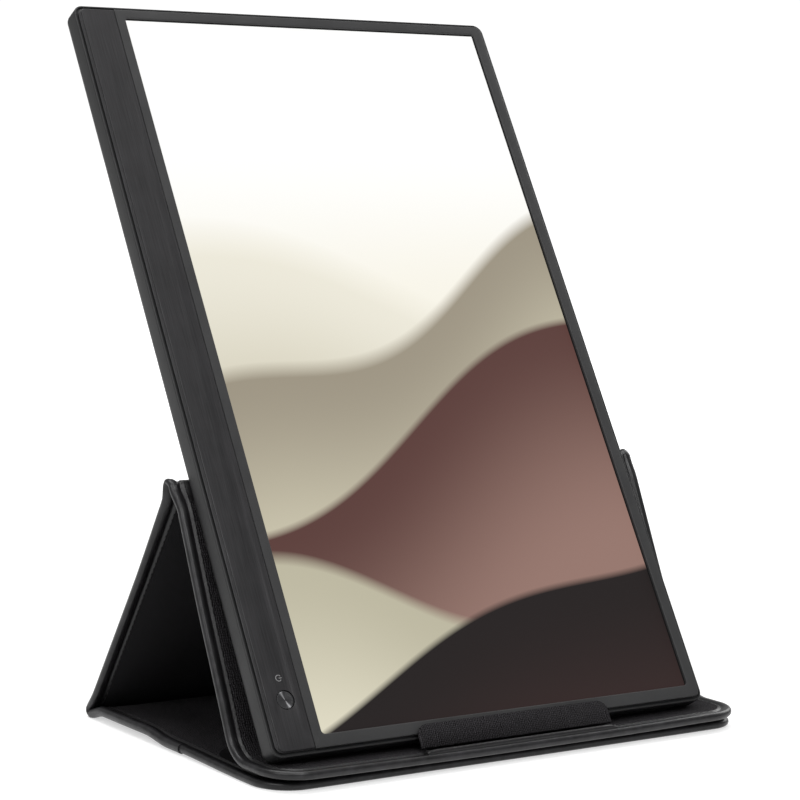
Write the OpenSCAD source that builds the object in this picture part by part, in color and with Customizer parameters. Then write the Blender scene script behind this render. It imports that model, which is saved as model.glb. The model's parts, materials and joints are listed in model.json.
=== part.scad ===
// Portable monitor standing upright in its folding cover.
// Origin: on the ground, under the middle of the cover's bottom panel.
// X runs across the screen, Y from the front to the back, Z up. Millimetres.

/* [Screen] */
// Width of the lit area
screen_w = 193.6; // [160:0.1:240]
// Height of the lit area
screen_h = 344.2; // [285:0.1:415]
// Border between the lit area and the housing's right edge
right_border = 7.8; // [6:0.1:14]
// Border between the lit area and the housing's lower edge
foot_border = 7.4; // [6:0.1:14]
// Border between the lit area and the housing's top edge
head_border = 6.9; // [6:0.1:14]
// Border between the lit area and the housing's left edge, chin included
chin_border = 24.6; // [20:0.1:36]
// Part of the left border that belongs to the bezel
seam_border = 4.7; // [3:0.1:8]
// Corner radius of the lit window
window_r = 1.8; // [0.5:0.1:4]

/* [Monitor housing] */
// Thickness of the closed monitor
monitor_t = 11.8; // [10.8:0.1:16]
// Corner radius of the housing
housing_r = 8; // [7:0.5:14]
// Wall of the rear housing
housing_wall = 1.5; // [1.2:0.1:2]
// Groove between the housing's rim and the front plates
rim_gap = 0.3; // [0.2:0.05:0.6]
// Thickness of the bezel and of the chin strip
plate_t = 1.2; // [1:0.1:1.6]
// Height by which the front plates stand above the rim
rim_drop = 1.2; // [0.8:0.1:1.6]
// Angle by which the monitor leans back from upright
monitor_lean = 31; // [27:0.5:36]
// Sideways shift of the lit area from the middle of the cover
screen_shift = 2.5; // [-8:0.5:8]

/* [Display module] */
// Cover and cell glass
glass_t = 1.1; // [0.8:0.1:1.4]
// Diffuser and prism films
film_t = 0.6; // [0.3:0.1:0.8]
// Light guide plate
guide_t = 1.4; // [1:0.1:1.8]
// Sheet metal of the tray
tray_wall = 0.4; // [0.3:0.1:0.6]
// Module edge beyond the lit area, on the short sides
module_end_margin = 3.3; // [2.5:0.1:4]
// Module edge beyond the lit area, on the long side away from the chin
module_side_margin = 2.9; // [2:0.1:4]
// Module edge beyond the lit area, under the chin
module_chin_margin = 6.8; // [6:0.1:7.5]
// Width of the lamp strip
led_w = 3; // [2:0.5:4]

/* [Electronics] */
// Width of the circuit boards
board_w = 11.5; // [9:0.5:12]
// Length of the main board
main_board_len = 118; // [80:1:150]
// Thickness of the circuit boards
pcb_t = 1; // [0.8:0.1:1.6]
// Length of the button's board
button_board_len = 26; // [20:1:40]
// Diameter of the power button
button_d = 7.8; // [7:0.1:10]
// Clearance round the power button
button_gap = 0.3; // [0.2:0.05:0.5]
// Travel of the power button
button_travel = 0.4; // [0.2:0.05:0.6]
// Distance from the housing's lower edge to the button's centre
button_up = 23.7; // [18:0.1:60]
// Distance from the chin's seam to the button's centre
button_in = 8; // [7:0.1:9]
// Width of the socket's shell
socket_w = 8.9; // [8:0.1:10]
// Height of the socket's shell
socket_h = 3.2; // [3:0.1:3.6]
// Depth of the socket's shell
socket_len = 7.4; // [6:0.1:9]

/* [Cover panels] */
// Width of the cover
cover_w = 247.5; // [240:0.5:310]
// Bottom panel, from its front edge to the rear fold
bottom_len = 159.2; // [140:0.5:195]
// Ledge, from the ledge fold to its front edge
ledge_len = 38; // [32:0.5:46]
// Support, from the ledge fold to the apex fold
support_len = 121; // [100:0.5:146]
// Angle by which the support leans back from upright
support_lean = 24.8; // [20:0.2:28]
// Length by which the ledge's front edge overhangs the bottom panel
ledge_overhang = 5; // [0:0.5:10]
// Radius of the front corners
cover_r = 18; // [12:0.5:28]
// Thickness of a panel at its bound edge
edge_t = 3.6; // [3.2:0.1:5]
// Width of the bound edge
edge_w = 6.5; // [5:0.5:10]
// Stiffener board inside each panel
board_t = 2; // [1.2:0.1:2.4]
// Step from the bound edge down to the fabric
fabric_step = 0.2; // [0.1:0.05:0.4]
// Gap between the ledge and the bottom panel under it
layer_gap = 1.8; // [0.3:0.1:3]
// Clearance between a fold and the panel that turns on it
fold_gap = 0.3; // [0.2:0.05:0.6]
// Clearance between the monitor and what it rests on
seat_gap = 0.1; // [0.05:0.05:0.4]
// Width of the smooth strip under the apex fold
apex_strip_w = 7; // [5:0.5:12]

/* [Lip] */
// Width of the lip that holds the monitor's lower edge
lip_w = 100; // [60:1:140]
// Length of the lip
lip_len = 10.5; // [8:0.5:16]
// Thickness of the lip
lip_t = 1.8; // [1.4:0.1:2.6]
// Corner radius of the lip
lip_r = 5; // [2:0.5:6]
// Clearance between the lip and the monitor's face
lip_gap = 0.8; // [0.7:0.1:1.4]
// Radius of the piping at the lip's foot
piping_r = 1.2; // [0.8:0.1:1.6]

/* [Magnets] */
// Diameter of the magnets that hold the stand shut
magnet_d = 10; // [6:0.5:14]
// Thickness of the magnets
magnet_t = 1.2; // [0.8:0.1:1.6]
// Number of magnets in each row
magnet_count = 4; // [2:1:6]

/* [Hidden] */
$fn = 64;
eps = 0.01;

// Heights in a panel, measured from its middle plane
board_top = board_t / 2;
fabric_top = edge_t / 2 - fabric_step;
skin_low = -edge_t / 2;
fold_r = edge_t / 2;
sheet_inset = edge_w;
board_inset = edge_t / 2;

// Side view of the folded cover: [y, z] of the fold axes and the leans of its panels
rear_axis = [(bottom_len - fold_r) / 2, edge_t / 2];
front_y = rear_axis[0] - bottom_len;
ledge_mid_z = edge_t + layer_gap + edge_t / 2;
ledge_axis = [front_y - ledge_overhang + ledge_len, ledge_mid_z];
apex_axis = ledge_axis + support_len * [sin(support_lean), cos(support_lean)];
strut_run = rear_axis - apex_axis;
strut_len = norm(strut_run);
strut_lean = atan2(strut_run[0], -strut_run[1]);
// Distance from a fold's axis at which a panel starts, on the outside and the inside of the fold
turn_start = fold_r + fold_gap;
fold_angle = min(support_lean + strut_lean, 90 - strut_lean);
inner_start = edge_t / 2 / tan(fold_angle / 2) + fold_gap;
// Height in the strut from which its skin reaches on to the folds, and how far the skin laps it
skin_web_low = 0.5;
web_lap = 0.2;

// Monitor: outer size, place of the lit area in it, and where it stands
monitor_w = chin_border + screen_w + right_border;
monitor_h = foot_border + screen_h + head_border;
screen_x = chin_border - monitor_w / 2;
screen_mid = screen_x + screen_w / 2;
monitor_x = screen_shift - screen_mid;
plate_inset = housing_wall + rim_gap;
plate_low = monitor_t - plate_t;
rim_top = monitor_t - rim_drop;
plate_bevel = 0.4;
skirt_w = 1.2;
skirt_h = 1;
// Housing, drawn in towards its back: [inset, from, to] of each level, and of the hollow inside
back_edge = [[3.2, 0, 0.2], [1, 1, 1.2], [0, 3, rim_top - 0.6], [0.6, rim_top - 0.2, rim_top]];
cavity_edge = [[5, housing_wall, housing_wall + 0.2], [3, housing_wall + 0.9, housing_wall + 1.1],
               [housing_wall, housing_wall + 3, monitor_t + 1]];
ledge_top = ledge_mid_z + fabric_top;
foot_drop = min([for (e = back_edge) e[0] * cos(monitor_lean) + e[1] * sin(monitor_lean)]);
foot_z = ledge_top + seat_gap - foot_drop;
foot_y = apex_axis[0]
    - (fold_r + seat_gap + (apex_axis[1] - foot_z) * sin(monitor_lean)) / cos(monitor_lean);

// Display module inside the housing
module_x0 = screen_x - module_chin_margin;
module_x1 = screen_x + screen_w + module_side_margin;
module_y0 = foot_border - module_end_margin;
module_y1 = foot_border + screen_h + module_end_margin;
glass_low = plate_low - glass_t;
tray_low = glass_low - film_t - guide_t - tray_wall;
tape_t = 0.4;
tape_inset = 1;
rail_w = 8;
rail_x = screen_w / 3;
rail_y0 = module_y0 + 6;
rail_y1 = module_y1 - 6;
seam_x = screen_x - seam_border;
seam_gap = 0.15;

// Circuit boards in the chin
chin_inner_x = -monitor_w / 2 + housing_wall;
board_x = (chin_inner_x + module_x0) / 2;
board_drop = 1.9;
board_end_gap = 2.5;
board_low = tray_low - board_drop;
board_high = board_low + pcb_t;
main_board_top = monitor_h - housing_wall - board_end_gap;
main_board_foot = main_board_top - main_board_len;
post_d = 4.4;
post_low = housing_wall * 0.8;
screw_d = 1.6;
pilot_d = 1.7;
screw_head_d = 3;
screw_head_h = 0.7;
screw_end_gap = 0.3;
button_screw_in = 3.5;
main_screw_in = [9, 14];
main_screw_y = [main_board_foot + main_screw_in[0], main_board_top - main_screw_in[1]];
button_screw_y = [button_up - button_board_len / 2 + button_screw_in,
                  button_up + button_board_len / 2 - button_screw_in];
screw_y = concat(main_screw_y, button_screw_y);
socket_mouth = monitor_h - 1;
socket_mid = board_high + socket_h / 2;
socket_wall = 0.3;
socket_clearance = 0.3;
tongue_w = 6.7;
tongue_t = 0.7;
tongue_in = 0.8;
chip_w = 8;
chip_len = 9;
chip_h = 1.1;
chip_pitch = 14;
flex_t = 0.3;
flex_w = 22;
flex_mid = main_board_foot + main_board_len / 3;
flex_reach = 22;
flex_foot_w = 3.5;
chip_y0 = flex_mid + 18;

// Power button
button_x = seam_x - button_in;
button_low = plate_low - 0.6;
button_dish = 0.35;
button_rim_w = 0.4;
flange_w = 0.9;
stem_d = 3;
button_rim_drop = 0.15;
button_edge_drop = 0.3;
flange_gap = 0.1;
switch_w = 4.6;
switch_h = 1.5;
plunger_d = 2.2;
plunger_h = 0.6;
plunger_gap = 0.05;
stem_low = board_high + switch_h + plunger_h + button_travel + plunger_gap;

// Lip: its own middle line runs along the monitor's face
lip_foot_z = ledge_mid_z + edge_t / 2 + lip_t / 2 + seat_gap;
face_y_at_lip = foot_y - monitor_t * cos(monitor_lean)
    + (lip_foot_z - foot_z - monitor_t * sin(monitor_lean)) * tan(monitor_lean);
lip_foot_y = face_y_at_lip - (lip_gap + lip_t / 2) / cos(monitor_lean);
lip_core_t = 0.9;
lip_hem = 1.5;
lip_core_y0 = 0.5;
// Sewn band in front of the lip's foot: a round bead along its front, and low behind that
band_h = 0.5;
band_gap = 0.2;
band_back_y = lip_foot_y - lip_t / 2 - band_gap;
piping_y = min(ledge_axis[0] - ledge_len + edge_t / 2 + piping_r, band_back_y - piping_r);

// Rows of magnets, centred behind the ledge's front edge
magnet_y = front_y - ledge_overhang + edge_w + magnet_d / 2 + 2;
magnet_pitch = (cover_w - 2 * cover_r - magnet_d) / (magnet_count - 1);
magnet_hole_d = magnet_d + 0.2;

leather = "#1d1c1e";
weave = "#2a2a2d";
twill = "#202023";
greyboard = "#7d7468";
shell_grey = "#4a4a4c";
pcb_green = "#1f5a3a";
metal = "#b9bcc0";

// ---------- placing ----------

// A panel's own frame: Y runs away from its fold, Z is the panel's normal
module on_bottom() {
    translate([0, rear_axis[0], rear_axis[1]]) rotate([0, 0, 180]) children();
}
module on_ledge() {
    translate([0, ledge_axis[0], ledge_axis[1]]) rotate([0, 0, 180]) children();
}
module on_support() {
    translate([0, ledge_axis[0], ledge_axis[1]]) rotate([90 - support_lean, 0, 0]) children();
}
// The strut hangs from the apex fold, with its outer face on the frame's Z side
module on_strut() {
    translate([0, apex_axis[0], apex_axis[1]]) rotate([strut_lean - 90, 0, 0]) children();
}
module on_monitor() {
    translate([monitor_x, foot_y, foot_z]) rotate([90 - monitor_lean, 0, 0]) children();
}
module on_lip() {
    translate([0, lip_foot_y, lip_foot_z]) rotate([90 - monitor_lean, 0, 0]) children();
}

// ---------- shapes ----------

module slab(x0, x1, y0, y1, z0, z1) {
    translate([x0, y0, z0]) cube([x1 - x0, y1 - y0, z1 - z0]);
}

// Rectangle with round corners, centred on X, its lower edge on Y = 0
module rounded_2d(w, h, r) {
    translate([-w / 2 + r, 0]) square([w - 2 * r, h]);
    translate([-w / 2, r]) square([w, h - 2 * r]);
    for (x = [-1, 1], y = [r, h - r]) translate([x * (w / 2 - r), y]) circle(r);
}

// Outline of a panel whose far end has round corners
module tongue_2d(w, y0, y1, r) {
    translate([-w / 2, y0]) square([w, y1 - r - y0]);
    translate([-w / 2 + r, y1 - r - eps]) square([w - 2 * r, r + eps]);
    for (x = [-1, 1]) translate([x * (w / 2 - r), y1 - r]) circle(r);
}

module sheet(z0, z1) {
    translate([0, 0, z0]) linear_extrude(z1 - z0) children();
}

// Section of a bound edge: a tape folded round the board, its outer face at X = 0
module bound_edge_2d() {
    difference() {
        union() {
            translate([edge_t / 2, 0]) circle(edge_t / 2);
            translate([edge_t / 2, -edge_t / 2]) square([edge_w - edge_t / 2, edge_t]);
        }
        translate([board_inset, -board_t / 2]) square([edge_w, board_t]);
        translate([edge_w - eps, -edge_t]) square([edge_w, 2 * edge_t]);
    }
}

// The two bound edges along a panel's sides
module bound_sides(y0, y1) {
    for (side = [0, 1]) mirror([side, 0, 0])
        translate([-cover_w / 2, y1, 0]) rotate([90, 0, 0]) linear_extrude(y1 - y0) bound_edge_2d();
}

// A bound edge that runs up one side, round the front corners and down the other side
module bound_front(y0, y1) {
    bound_sides(y0, y1 - cover_r);
    for (side = [0, 1]) mirror([side, 0, 0])
        translate([-cover_w / 2 + cover_r, y1 - cover_r, 0]) rotate([0, 0, 90])
            rotate_extrude(angle = 90) translate([cover_r, 0]) mirror([1, 0]) bound_edge_2d();
    translate([cover_w / 2 - cover_r, y1, 0]) rotate([90, 0, -90])
        linear_extrude(cover_w - 2 * cover_r) bound_edge_2d();
}

module fold_roll() {
    rotate([0, 90, 0]) cylinder(r = fold_r, h = cover_w - edge_t, center = true);
}

module magnet_row(panel_y, z, d, t) {
    for (i = [0 : magnet_count - 1])
        translate([(i - (magnet_count - 1) / 2) * magnet_pitch, panel_y, z]) cylinder(d = d, h = t);
}

// ---------- support ----------

module support_board() {
    color(greyboard) on_support()
        slab(-cover_w / 2 + board_inset, cover_w / 2 - board_inset, inner_start,
             support_len - inner_start, -board_t / 2, board_top);
}
module support_fabric() {
    color(weave) on_support()
        slab(-cover_w / 2 + sheet_inset, cover_w / 2 - sheet_inset, inner_start,
             support_len - inner_start - apex_strip_w, board_top, fabric_top);
}
module apex_strip() {
    color(leather) on_support()
        slab(-cover_w / 2 + sheet_inset, cover_w / 2 - sheet_inset,
             support_len - inner_start - apex_strip_w, support_len - inner_start, board_top, edge_t / 2);
}
module support_lining() {
    color(twill) on_support()
        slab(-cover_w / 2 + sheet_inset, cover_w / 2 - sheet_inset, inner_start,
             support_len - inner_start, skin_low, -board_top);
}
module support_binding() {
    color(leather) on_support() bound_sides(inner_start, support_len - inner_start);
}
// The folds are rolls of leather with a web that reaches back to the support
module apex_fold() {
    color(leather) on_support() {
        translate([0, support_len, 0]) fold_roll();
        slab(-cover_w / 2 + board_inset, cover_w / 2 - board_inset,
             support_len - inner_start, support_len, 0, fold_r);
    }
}
module ledge_fold() {
    color(leather) on_support() {
        fold_roll();
        slab(-cover_w / 2 + board_inset, cover_w / 2 - board_inset, 0, inner_start, -fold_r, 0);
    }
}

// ---------- strut ----------

module strut_board() {
    color(greyboard) on_strut()
        slab(-cover_w / 2 + board_inset, cover_w / 2 - board_inset, inner_start,
             strut_len - inner_start, -board_t / 2, board_top);
}
module strut_skin() {
    color(leather) on_strut() {
        slab(-cover_w / 2 + sheet_inset, cover_w / 2 - sheet_inset, inner_start - web_lap,
             strut_len - inner_start + web_lap, board_top, edge_t / 2);
        slab(-cover_w / 2 + board_inset, cover_w / 2 - board_inset, turn_start,
             inner_start, skin_web_low, edge_t / 2);
        slab(-cover_w / 2 + board_inset, cover_w / 2 - board_inset, strut_len - inner_start,
             strut_len - turn_start, skin_web_low, edge_t / 2);
    }
}
module strut_lining() {
    color(twill) on_strut()
        slab(-cover_w / 2 + sheet_inset, cover_w / 2 - sheet_inset, inner_start,
             strut_len - inner_start, skin_low, -board_top);
}
module strut_binding() {
    color(leather) on_strut() bound_sides(inner_start, strut_len - inner_start);
}

// ---------- bottom ----------

module bottom_board() {
    color(greyboard) on_bottom() difference() {
        sheet(-board_t / 2, board_top)
            tongue_2d(cover_w - 2 * board_inset, inner_start, bottom_len - board_inset,
                      cover_r - board_inset);
        magnet_row(rear_axis[0] - magnet_y, board_top - magnet_t, magnet_hole_d, magnet_t + eps);
    }
}
module bottom_skin() {
    color(leather) on_bottom()
        sheet(skin_low, -board_top)
            tongue_2d(cover_w - 2 * sheet_inset, inner_start, bottom_len - sheet_inset,
                      cover_r - sheet_inset);
}
module bottom_fabric() {
    color(weave) on_bottom()
        sheet(board_top, fabric_top)
            tongue_2d(cover_w - 2 * sheet_inset, inner_start, bottom_len - sheet_inset,
                      cover_r - sheet_inset);
}
module bottom_binding() {
    color(leather) on_bottom() bound_front(inner_start, bottom_len);
}
module rear_fold() {
    color(leather) on_bottom() {
        fold_roll();
        slab(-cover_w / 2 + board_inset, cover_w / 2 - board_inset, 0, inner_start, -fold_r, 0);
    }
}
module bottom_magnets() {
    color(metal) on_bottom()
        magnet_row(rear_axis[0] - magnet_y, board_top - magnet_t, magnet_d, magnet_t);
}

// ---------- ledge ----------

module ledge_board() {
    color(greyboard) on_ledge() difference() {
        sheet(-board_t / 2, board_top)
            tongue_2d(cover_w - 2 * board_inset, turn_start, ledge_len - board_inset,
                      cover_r - board_inset);
        magnet_row(ledge_axis[0] - magnet_y, -board_top - eps, magnet_hole_d, magnet_t + eps);
    }
}
module ledge_skin() {
    color(leather) on_ledge()
        sheet(skin_low, -board_top)
            tongue_2d(cover_w - 2 * sheet_inset, turn_start, ledge_len - sheet_inset,
                      cover_r - sheet_inset);
}
module ledge_fabric() {
    color(weave) on_ledge()
        sheet(board_top, fabric_top)
            tongue_2d(cover_w - 2 * sheet_inset, turn_start, ledge_len - sheet_inset,
                      cover_r - sheet_inset);
}
module ledge_binding() {
    color(leather) on_ledge() bound_front(turn_start, ledge_len);
}
module ledge_magnets() {
    color(metal) on_ledge() magnet_row(ledge_axis[0] - magnet_y, -board_top, magnet_d, magnet_t);
}
// Band sewn on the bound edge in front of the lip's foot, with a half-round bead
module lip_piping() {
    color(leather) translate([0, piping_y, ledge_mid_z + edge_t / 2]) rotate([90, 0, 90])
        linear_extrude(lip_w, center = true) {
            intersection() {
                circle(piping_r);
                translate([-piping_r, 0]) square(2 * piping_r);
            }
            square([band_back_y - piping_y, band_h]);
        }
}

// ---------- lip ----------

module lip_board() {
    color(greyboard) on_lip() sheet(-lip_core_t / 2, lip_core_t / 2)
        tongue_2d(lip_w - 2 * lip_hem, lip_core_y0, lip_len - lip_hem, lip_r - lip_hem);
}
module lip_fabric() {
    color(weave) on_lip() difference() {
        sheet(-lip_t / 2, lip_t / 2) tongue_2d(lip_w, 0, lip_len, lip_r);
        sheet(-lip_core_t / 2, lip_core_t / 2)
            tongue_2d(lip_w - 2 * lip_hem, -1, lip_len - lip_hem, lip_r - lip_hem);
    }
}

// ---------- monitor housing ----------

// A level of the housing: its outline drawn in by an inset, between two heights
module level(inset, z0, z1) {
    translate([0, inset, z0]) linear_extrude(z1 - z0)
        rounded_2d(monitor_w - 2 * inset, monitor_h - 2 * inset, housing_r - inset, $fn = 32);
}

module socket_2d(w, h) {
    square([w - h, h], center = true);
    for (x = [-1, 1]) translate([x * (w - h) / 2, 0]) circle(h / 2);
}

module post(y, z0, z1) {
    translate([board_x, y, z0]) cylinder(d = post_d, h = z1 - z0);
}

module rear_housing() {
    color(shell_grey) on_monitor() difference() {
        union() {
            difference() {
                hull() for (e = back_edge) level(e[0], e[1], e[2]);
                hull() for (e = cavity_edge) level(e[0], e[1], e[2]);
            }
            for (x = [-rail_x, 0, rail_x])
                slab(screen_mid + x - rail_w / 2, screen_mid + x + rail_w / 2, rail_y0, rail_y1,
                     post_low, tray_low - tape_t);
            for (y = screw_y) post(y, post_low, board_low);
        }
        for (y = screw_y)
            translate([board_x, y, housing_wall]) cylinder(d = pilot_d, h = monitor_t);
        translate([board_x, monitor_h - 6, socket_mid]) rotate([-90, 0, 0])
            linear_extrude(10) socket_2d(socket_w + 2 * socket_clearance,
                                         socket_h + 2 * socket_clearance);
    }
}

// Outline of the front plates between two places across the face
module plate_outline(x0, x1, inset) {
    intersection() {
        translate([0, plate_inset + inset])
            rounded_2d(monitor_w - 2 * (plate_inset + inset), monitor_h - 2 * (plate_inset + inset),
                       housing_r - plate_inset - inset);
        translate([x0, 0]) square([x1 - x0, monitor_h]);
    }
}

// A front plate with a bevelled face, and under its edge a skirt that fits inside the wall
module plate(x0, x1) {
    hull() {
        sheet(plate_low, monitor_t - plate_bevel) plate_outline(x0, x1, 0);
        sheet(monitor_t - plate_bevel, monitor_t) plate_outline(x0, x1, plate_bevel);
    }
    sheet(plate_low - skirt_h, plate_low) difference() {
        plate_outline(x0, x1, 0);
        plate_outline(-monitor_w / 2, monitor_w / 2, skirt_w);
    }
}

module front_bezel() {
    color(shell_grey) on_monitor() difference() {
        plate(seam_x, monitor_w / 2);
        translate([screen_mid, foot_border, plate_low])
            linear_extrude(2 * plate_t) rounded_2d(screen_w, screen_h, window_r);
    }
}

module chin_strip() {
    color("#3a393b") on_monitor() difference() {
        plate(-monitor_w / 2, seam_x - seam_gap);
        translate([button_x, button_up, 0]) cylinder(d = button_d + 2 * button_gap, h = 2 * monitor_t);
    }
}

// ---------- display module ----------

module lcd_glass() {
    color("#e9e4da") on_monitor() slab(module_x0, module_x1, module_y0, module_y1, glass_low, plate_low);
}
module film_stack() {
    color("#dfe3e6") on_monitor()
        slab(module_x0 + tray_wall, module_x1 - tray_wall, module_y0 + tray_wall, module_y1 - tray_wall,
             glass_low - film_t, glass_low);
}
module light_guide() {
    color("#cfe0e8") on_monitor()
        slab(module_x0 + tray_wall + led_w, module_x1 - tray_wall, module_y0 + tray_wall,
             module_y1 - tray_wall, tray_low + tray_wall, glass_low - film_t);
}
module led_strip() {
    color("#f3efe2") on_monitor()
        slab(module_x0 + tray_wall, module_x0 + tray_wall + led_w, module_y0 + 4, module_y1 - 4,
             tray_low + tray_wall, glass_low - film_t);
}
module panel_tray() {
    color(metal) on_monitor() difference() {
        slab(module_x0, module_x1, module_y0, module_y1, tray_low, glass_low);
        slab(module_x0 + tray_wall, module_x1 - tray_wall, module_y0 + tray_wall, module_y1 - tray_wall,
             tray_low + tray_wall, monitor_t);
    }
}
module panel_tapes() {
    color("#111111") on_monitor() for (x = [-rail_x, 0, rail_x])
        slab(screen_mid + x - rail_w / 2 + tape_inset, screen_mid + x + rail_w / 2 - tape_inset,
             rail_y0 + tape_inset, rail_y1 - tape_inset, tray_low - tape_t, tray_low);
}

// ---------- electronics ----------

module pcb(y0, y1, holes) {
    difference() {
        slab(board_x - board_w / 2, board_x + board_w / 2, y0, y1, board_low, board_high);
        for (y = holes) translate([board_x, y, 0]) cylinder(d = screw_d + 0.3, h = monitor_t);
    }
}
module main_board() {
    color(pcb_green) on_monitor() pcb(main_board_foot, main_board_top, main_screw_y);
}
module board_chips() {
    color("#1b1b1d") on_monitor() for (i = [0 : 2])
        slab(board_x - chip_w / 2, board_x + chip_w / 2, chip_y0 + chip_pitch * i,
             chip_y0 + chip_pitch * i + chip_len, board_high, board_high + chip_h);
}
module board_screws() {
    screw_end = housing_wall + screw_end_gap;
    color(metal) on_monitor() for (y = screw_y) translate([board_x, y, 0]) {
        translate([0, 0, board_high]) cylinder(d = screw_head_d, h = screw_head_h);
        translate([0, 0, screw_end]) cylinder(d = screw_d, h = board_high - screw_end + eps);
    }
}
module usb_socket() {
    color(metal) on_monitor() translate([board_x, socket_mouth - socket_len, socket_mid])
        rotate([-90, 0, 0]) difference() {
            linear_extrude(socket_len) socket_2d(socket_w, socket_h);
            translate([0, 0, socket_wall]) linear_extrude(socket_len)
                socket_2d(socket_w - 2 * socket_wall, socket_h - 2 * socket_wall);
        }
}
module usb_tongue() {
    color("#161616") on_monitor()
        slab(board_x - tongue_w / 2, board_x + tongue_w / 2, socket_mouth - socket_len + socket_wall,
             socket_mouth - tongue_in, socket_mid - tongue_t / 2, socket_mid + tongue_t / 2);
}
// Flat cable from the main board to the back of the display module
module panel_cable() {
    color("#8a5a2b") on_monitor() {
        slab(board_x, module_x0 + flex_reach, flex_mid - flex_w / 2, flex_mid + flex_w / 2,
             tray_low - flex_t, tray_low);
        slab(board_x, board_x + flex_foot_w, flex_mid - flex_w / 2, flex_mid + flex_w / 2,
             board_high, tray_low - flex_t);
    }
}
module button_board() {
    color(pcb_green) on_monitor()
        pcb(button_up - button_board_len / 2, button_up + button_board_len / 2, button_screw_y);
}
// Flat cable along the chin, from the button's board to the main board
module button_cable() {
    color("#8a5a2b") on_monitor()
        slab(board_x + 2, board_x + 5, button_up + button_board_len / 2 - 5, main_board_foot + 5,
             board_high, board_high + flex_t);
}
module button_switch() {
    color("#2b2b2e") on_monitor() translate([button_x, button_up, board_high]) {
        slab(-switch_w / 2, switch_w / 2, -switch_w / 2, switch_w / 2, 0, switch_h);
        cylinder(d = plunger_d, h = switch_h + plunger_h);
    }
}
// Cap with a dished face, a flange that keeps it in, and a stem over the switch
module power_button() {
    r = button_d / 2;
    steps = 8;
    dish = [for (i = [0 : steps]) let (a = i / steps)
        [(r - button_rim_w) * (1 - a), monitor_t - button_rim_drop - button_dish * (1 - pow(1 - a, 2))]];
    color("#77777b") on_monitor() translate([button_x, button_up, 0])
        rotate_extrude() polygon(concat(
            [[0, stem_low], [stem_d / 2, stem_low], [stem_d / 2, button_low],
             [r + flange_w, button_low], [r + flange_w, plate_low - flange_gap],
             [r, plate_low - flange_gap], [r, monitor_t - button_edge_drop]],
            dish));
}

support_board();
support_fabric();
support_lining();
support_binding();
apex_strip();
apex_fold();
ledge_fold();
strut_board();
strut_skin();
strut_lining();
strut_binding();
bottom_board();
bottom_skin();
bottom_fabric();
bottom_binding();
rear_fold();
bottom_magnets();
ledge_board();
ledge_skin();
ledge_fabric();
ledge_binding();
ledge_magnets();
lip_piping();
lip_board();
lip_fabric();
rear_housing();
front_bezel();
chin_strip();
lcd_glass();
film_stack();
light_guide();
led_strip();
panel_tray();
panel_tapes();
main_board();
board_chips();
board_screws();
usb_socket();
usb_tongue();
panel_cable();
button_board();
button_cable();
button_switch();
power_button();
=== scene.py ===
"""Looks of a portable monitor that stands upright in its folding cover.

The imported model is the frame: every piece made here sits where the frame's nodes and joints
say. Lengths are in metres. X runs across the screen, Y from the front to the back, Z up.
"""
import json
import logging
import math
from bisect import bisect_right
from dataclasses import dataclass, field
from enum import Enum
from typing import Callable, Iterable, Sequence

import bmesh
import bpy
from mathutils import Matrix, Vector, noise


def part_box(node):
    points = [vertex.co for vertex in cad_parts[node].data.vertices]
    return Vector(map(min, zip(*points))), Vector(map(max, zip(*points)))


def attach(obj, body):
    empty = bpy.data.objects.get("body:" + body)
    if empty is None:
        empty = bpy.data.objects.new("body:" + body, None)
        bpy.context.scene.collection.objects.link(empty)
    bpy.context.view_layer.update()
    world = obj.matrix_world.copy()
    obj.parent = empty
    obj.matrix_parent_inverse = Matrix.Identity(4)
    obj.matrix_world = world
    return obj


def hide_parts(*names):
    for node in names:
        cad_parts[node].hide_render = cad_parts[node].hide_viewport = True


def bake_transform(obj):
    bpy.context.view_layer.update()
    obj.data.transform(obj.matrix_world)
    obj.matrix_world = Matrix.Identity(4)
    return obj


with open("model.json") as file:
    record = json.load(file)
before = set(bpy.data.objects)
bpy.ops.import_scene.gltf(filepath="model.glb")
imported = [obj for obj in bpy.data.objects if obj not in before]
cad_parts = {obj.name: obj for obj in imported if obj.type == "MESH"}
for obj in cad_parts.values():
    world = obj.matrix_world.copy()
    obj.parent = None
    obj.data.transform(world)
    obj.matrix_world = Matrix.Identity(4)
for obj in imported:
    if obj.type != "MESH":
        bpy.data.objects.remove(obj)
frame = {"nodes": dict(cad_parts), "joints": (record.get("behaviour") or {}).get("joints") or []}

LOG = logging.getLogger("portable_monitor")
MM = 0.001
SMOOTH_ANGLE = math.radians(38)
SHEET_MAP = "sheet"      # a piece's own flat coordinates
# Nearness to the edge lightens the leather: partly scuffing from use, partly a painted highlight along the
# edge roll.
WEAR_AND_SHEEN = "wear_and_sheen"            # how near a point of the cover is to its rubbed edge

Flat = tuple[float, float, float]
Ring = list[Vector]
Face = tuple[int, ...]


# ---------- small helpers ----------

def blend_step(low: float, high: float, value: float) -> float:
    """Smooth step from 0 at low to 1 at high.

    Args:
        low: Value at which the step starts.
        high: Value at which the step ends.
        value: Place on the step.

    Returns:
        A share from 0 to 1.
    """
    t = min(max((value - low) / (high - low), 0.0), 1.0)
    return t * t * (3 - 2 * t)


def corner_half(half: float, radius: float, from_front: float) -> float:
    """Half width of a panel with round front corners, at a distance from its front."""
    drop = max(radius - from_front, 0.0)
    return half - radius + math.sqrt(max(radius ** 2 - drop ** 2, 0.0))


def spread(low: float, high: float, step: float) -> list[float]:
    """Even places from low to high, both ends included, no further apart than step."""
    count = max(1, math.ceil(abs(high - low) / step - 1e-9))
    return [low + (high - low) * i / count for i in range(count + 1)]


def turns(start: float, end: float, steps: int) -> list[float]:
    """Even angles in radians from start to end, which are in degrees, both ends included."""
    return [math.radians(start + (end - start) * i / steps) for i in range(steps + 1)]


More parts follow.
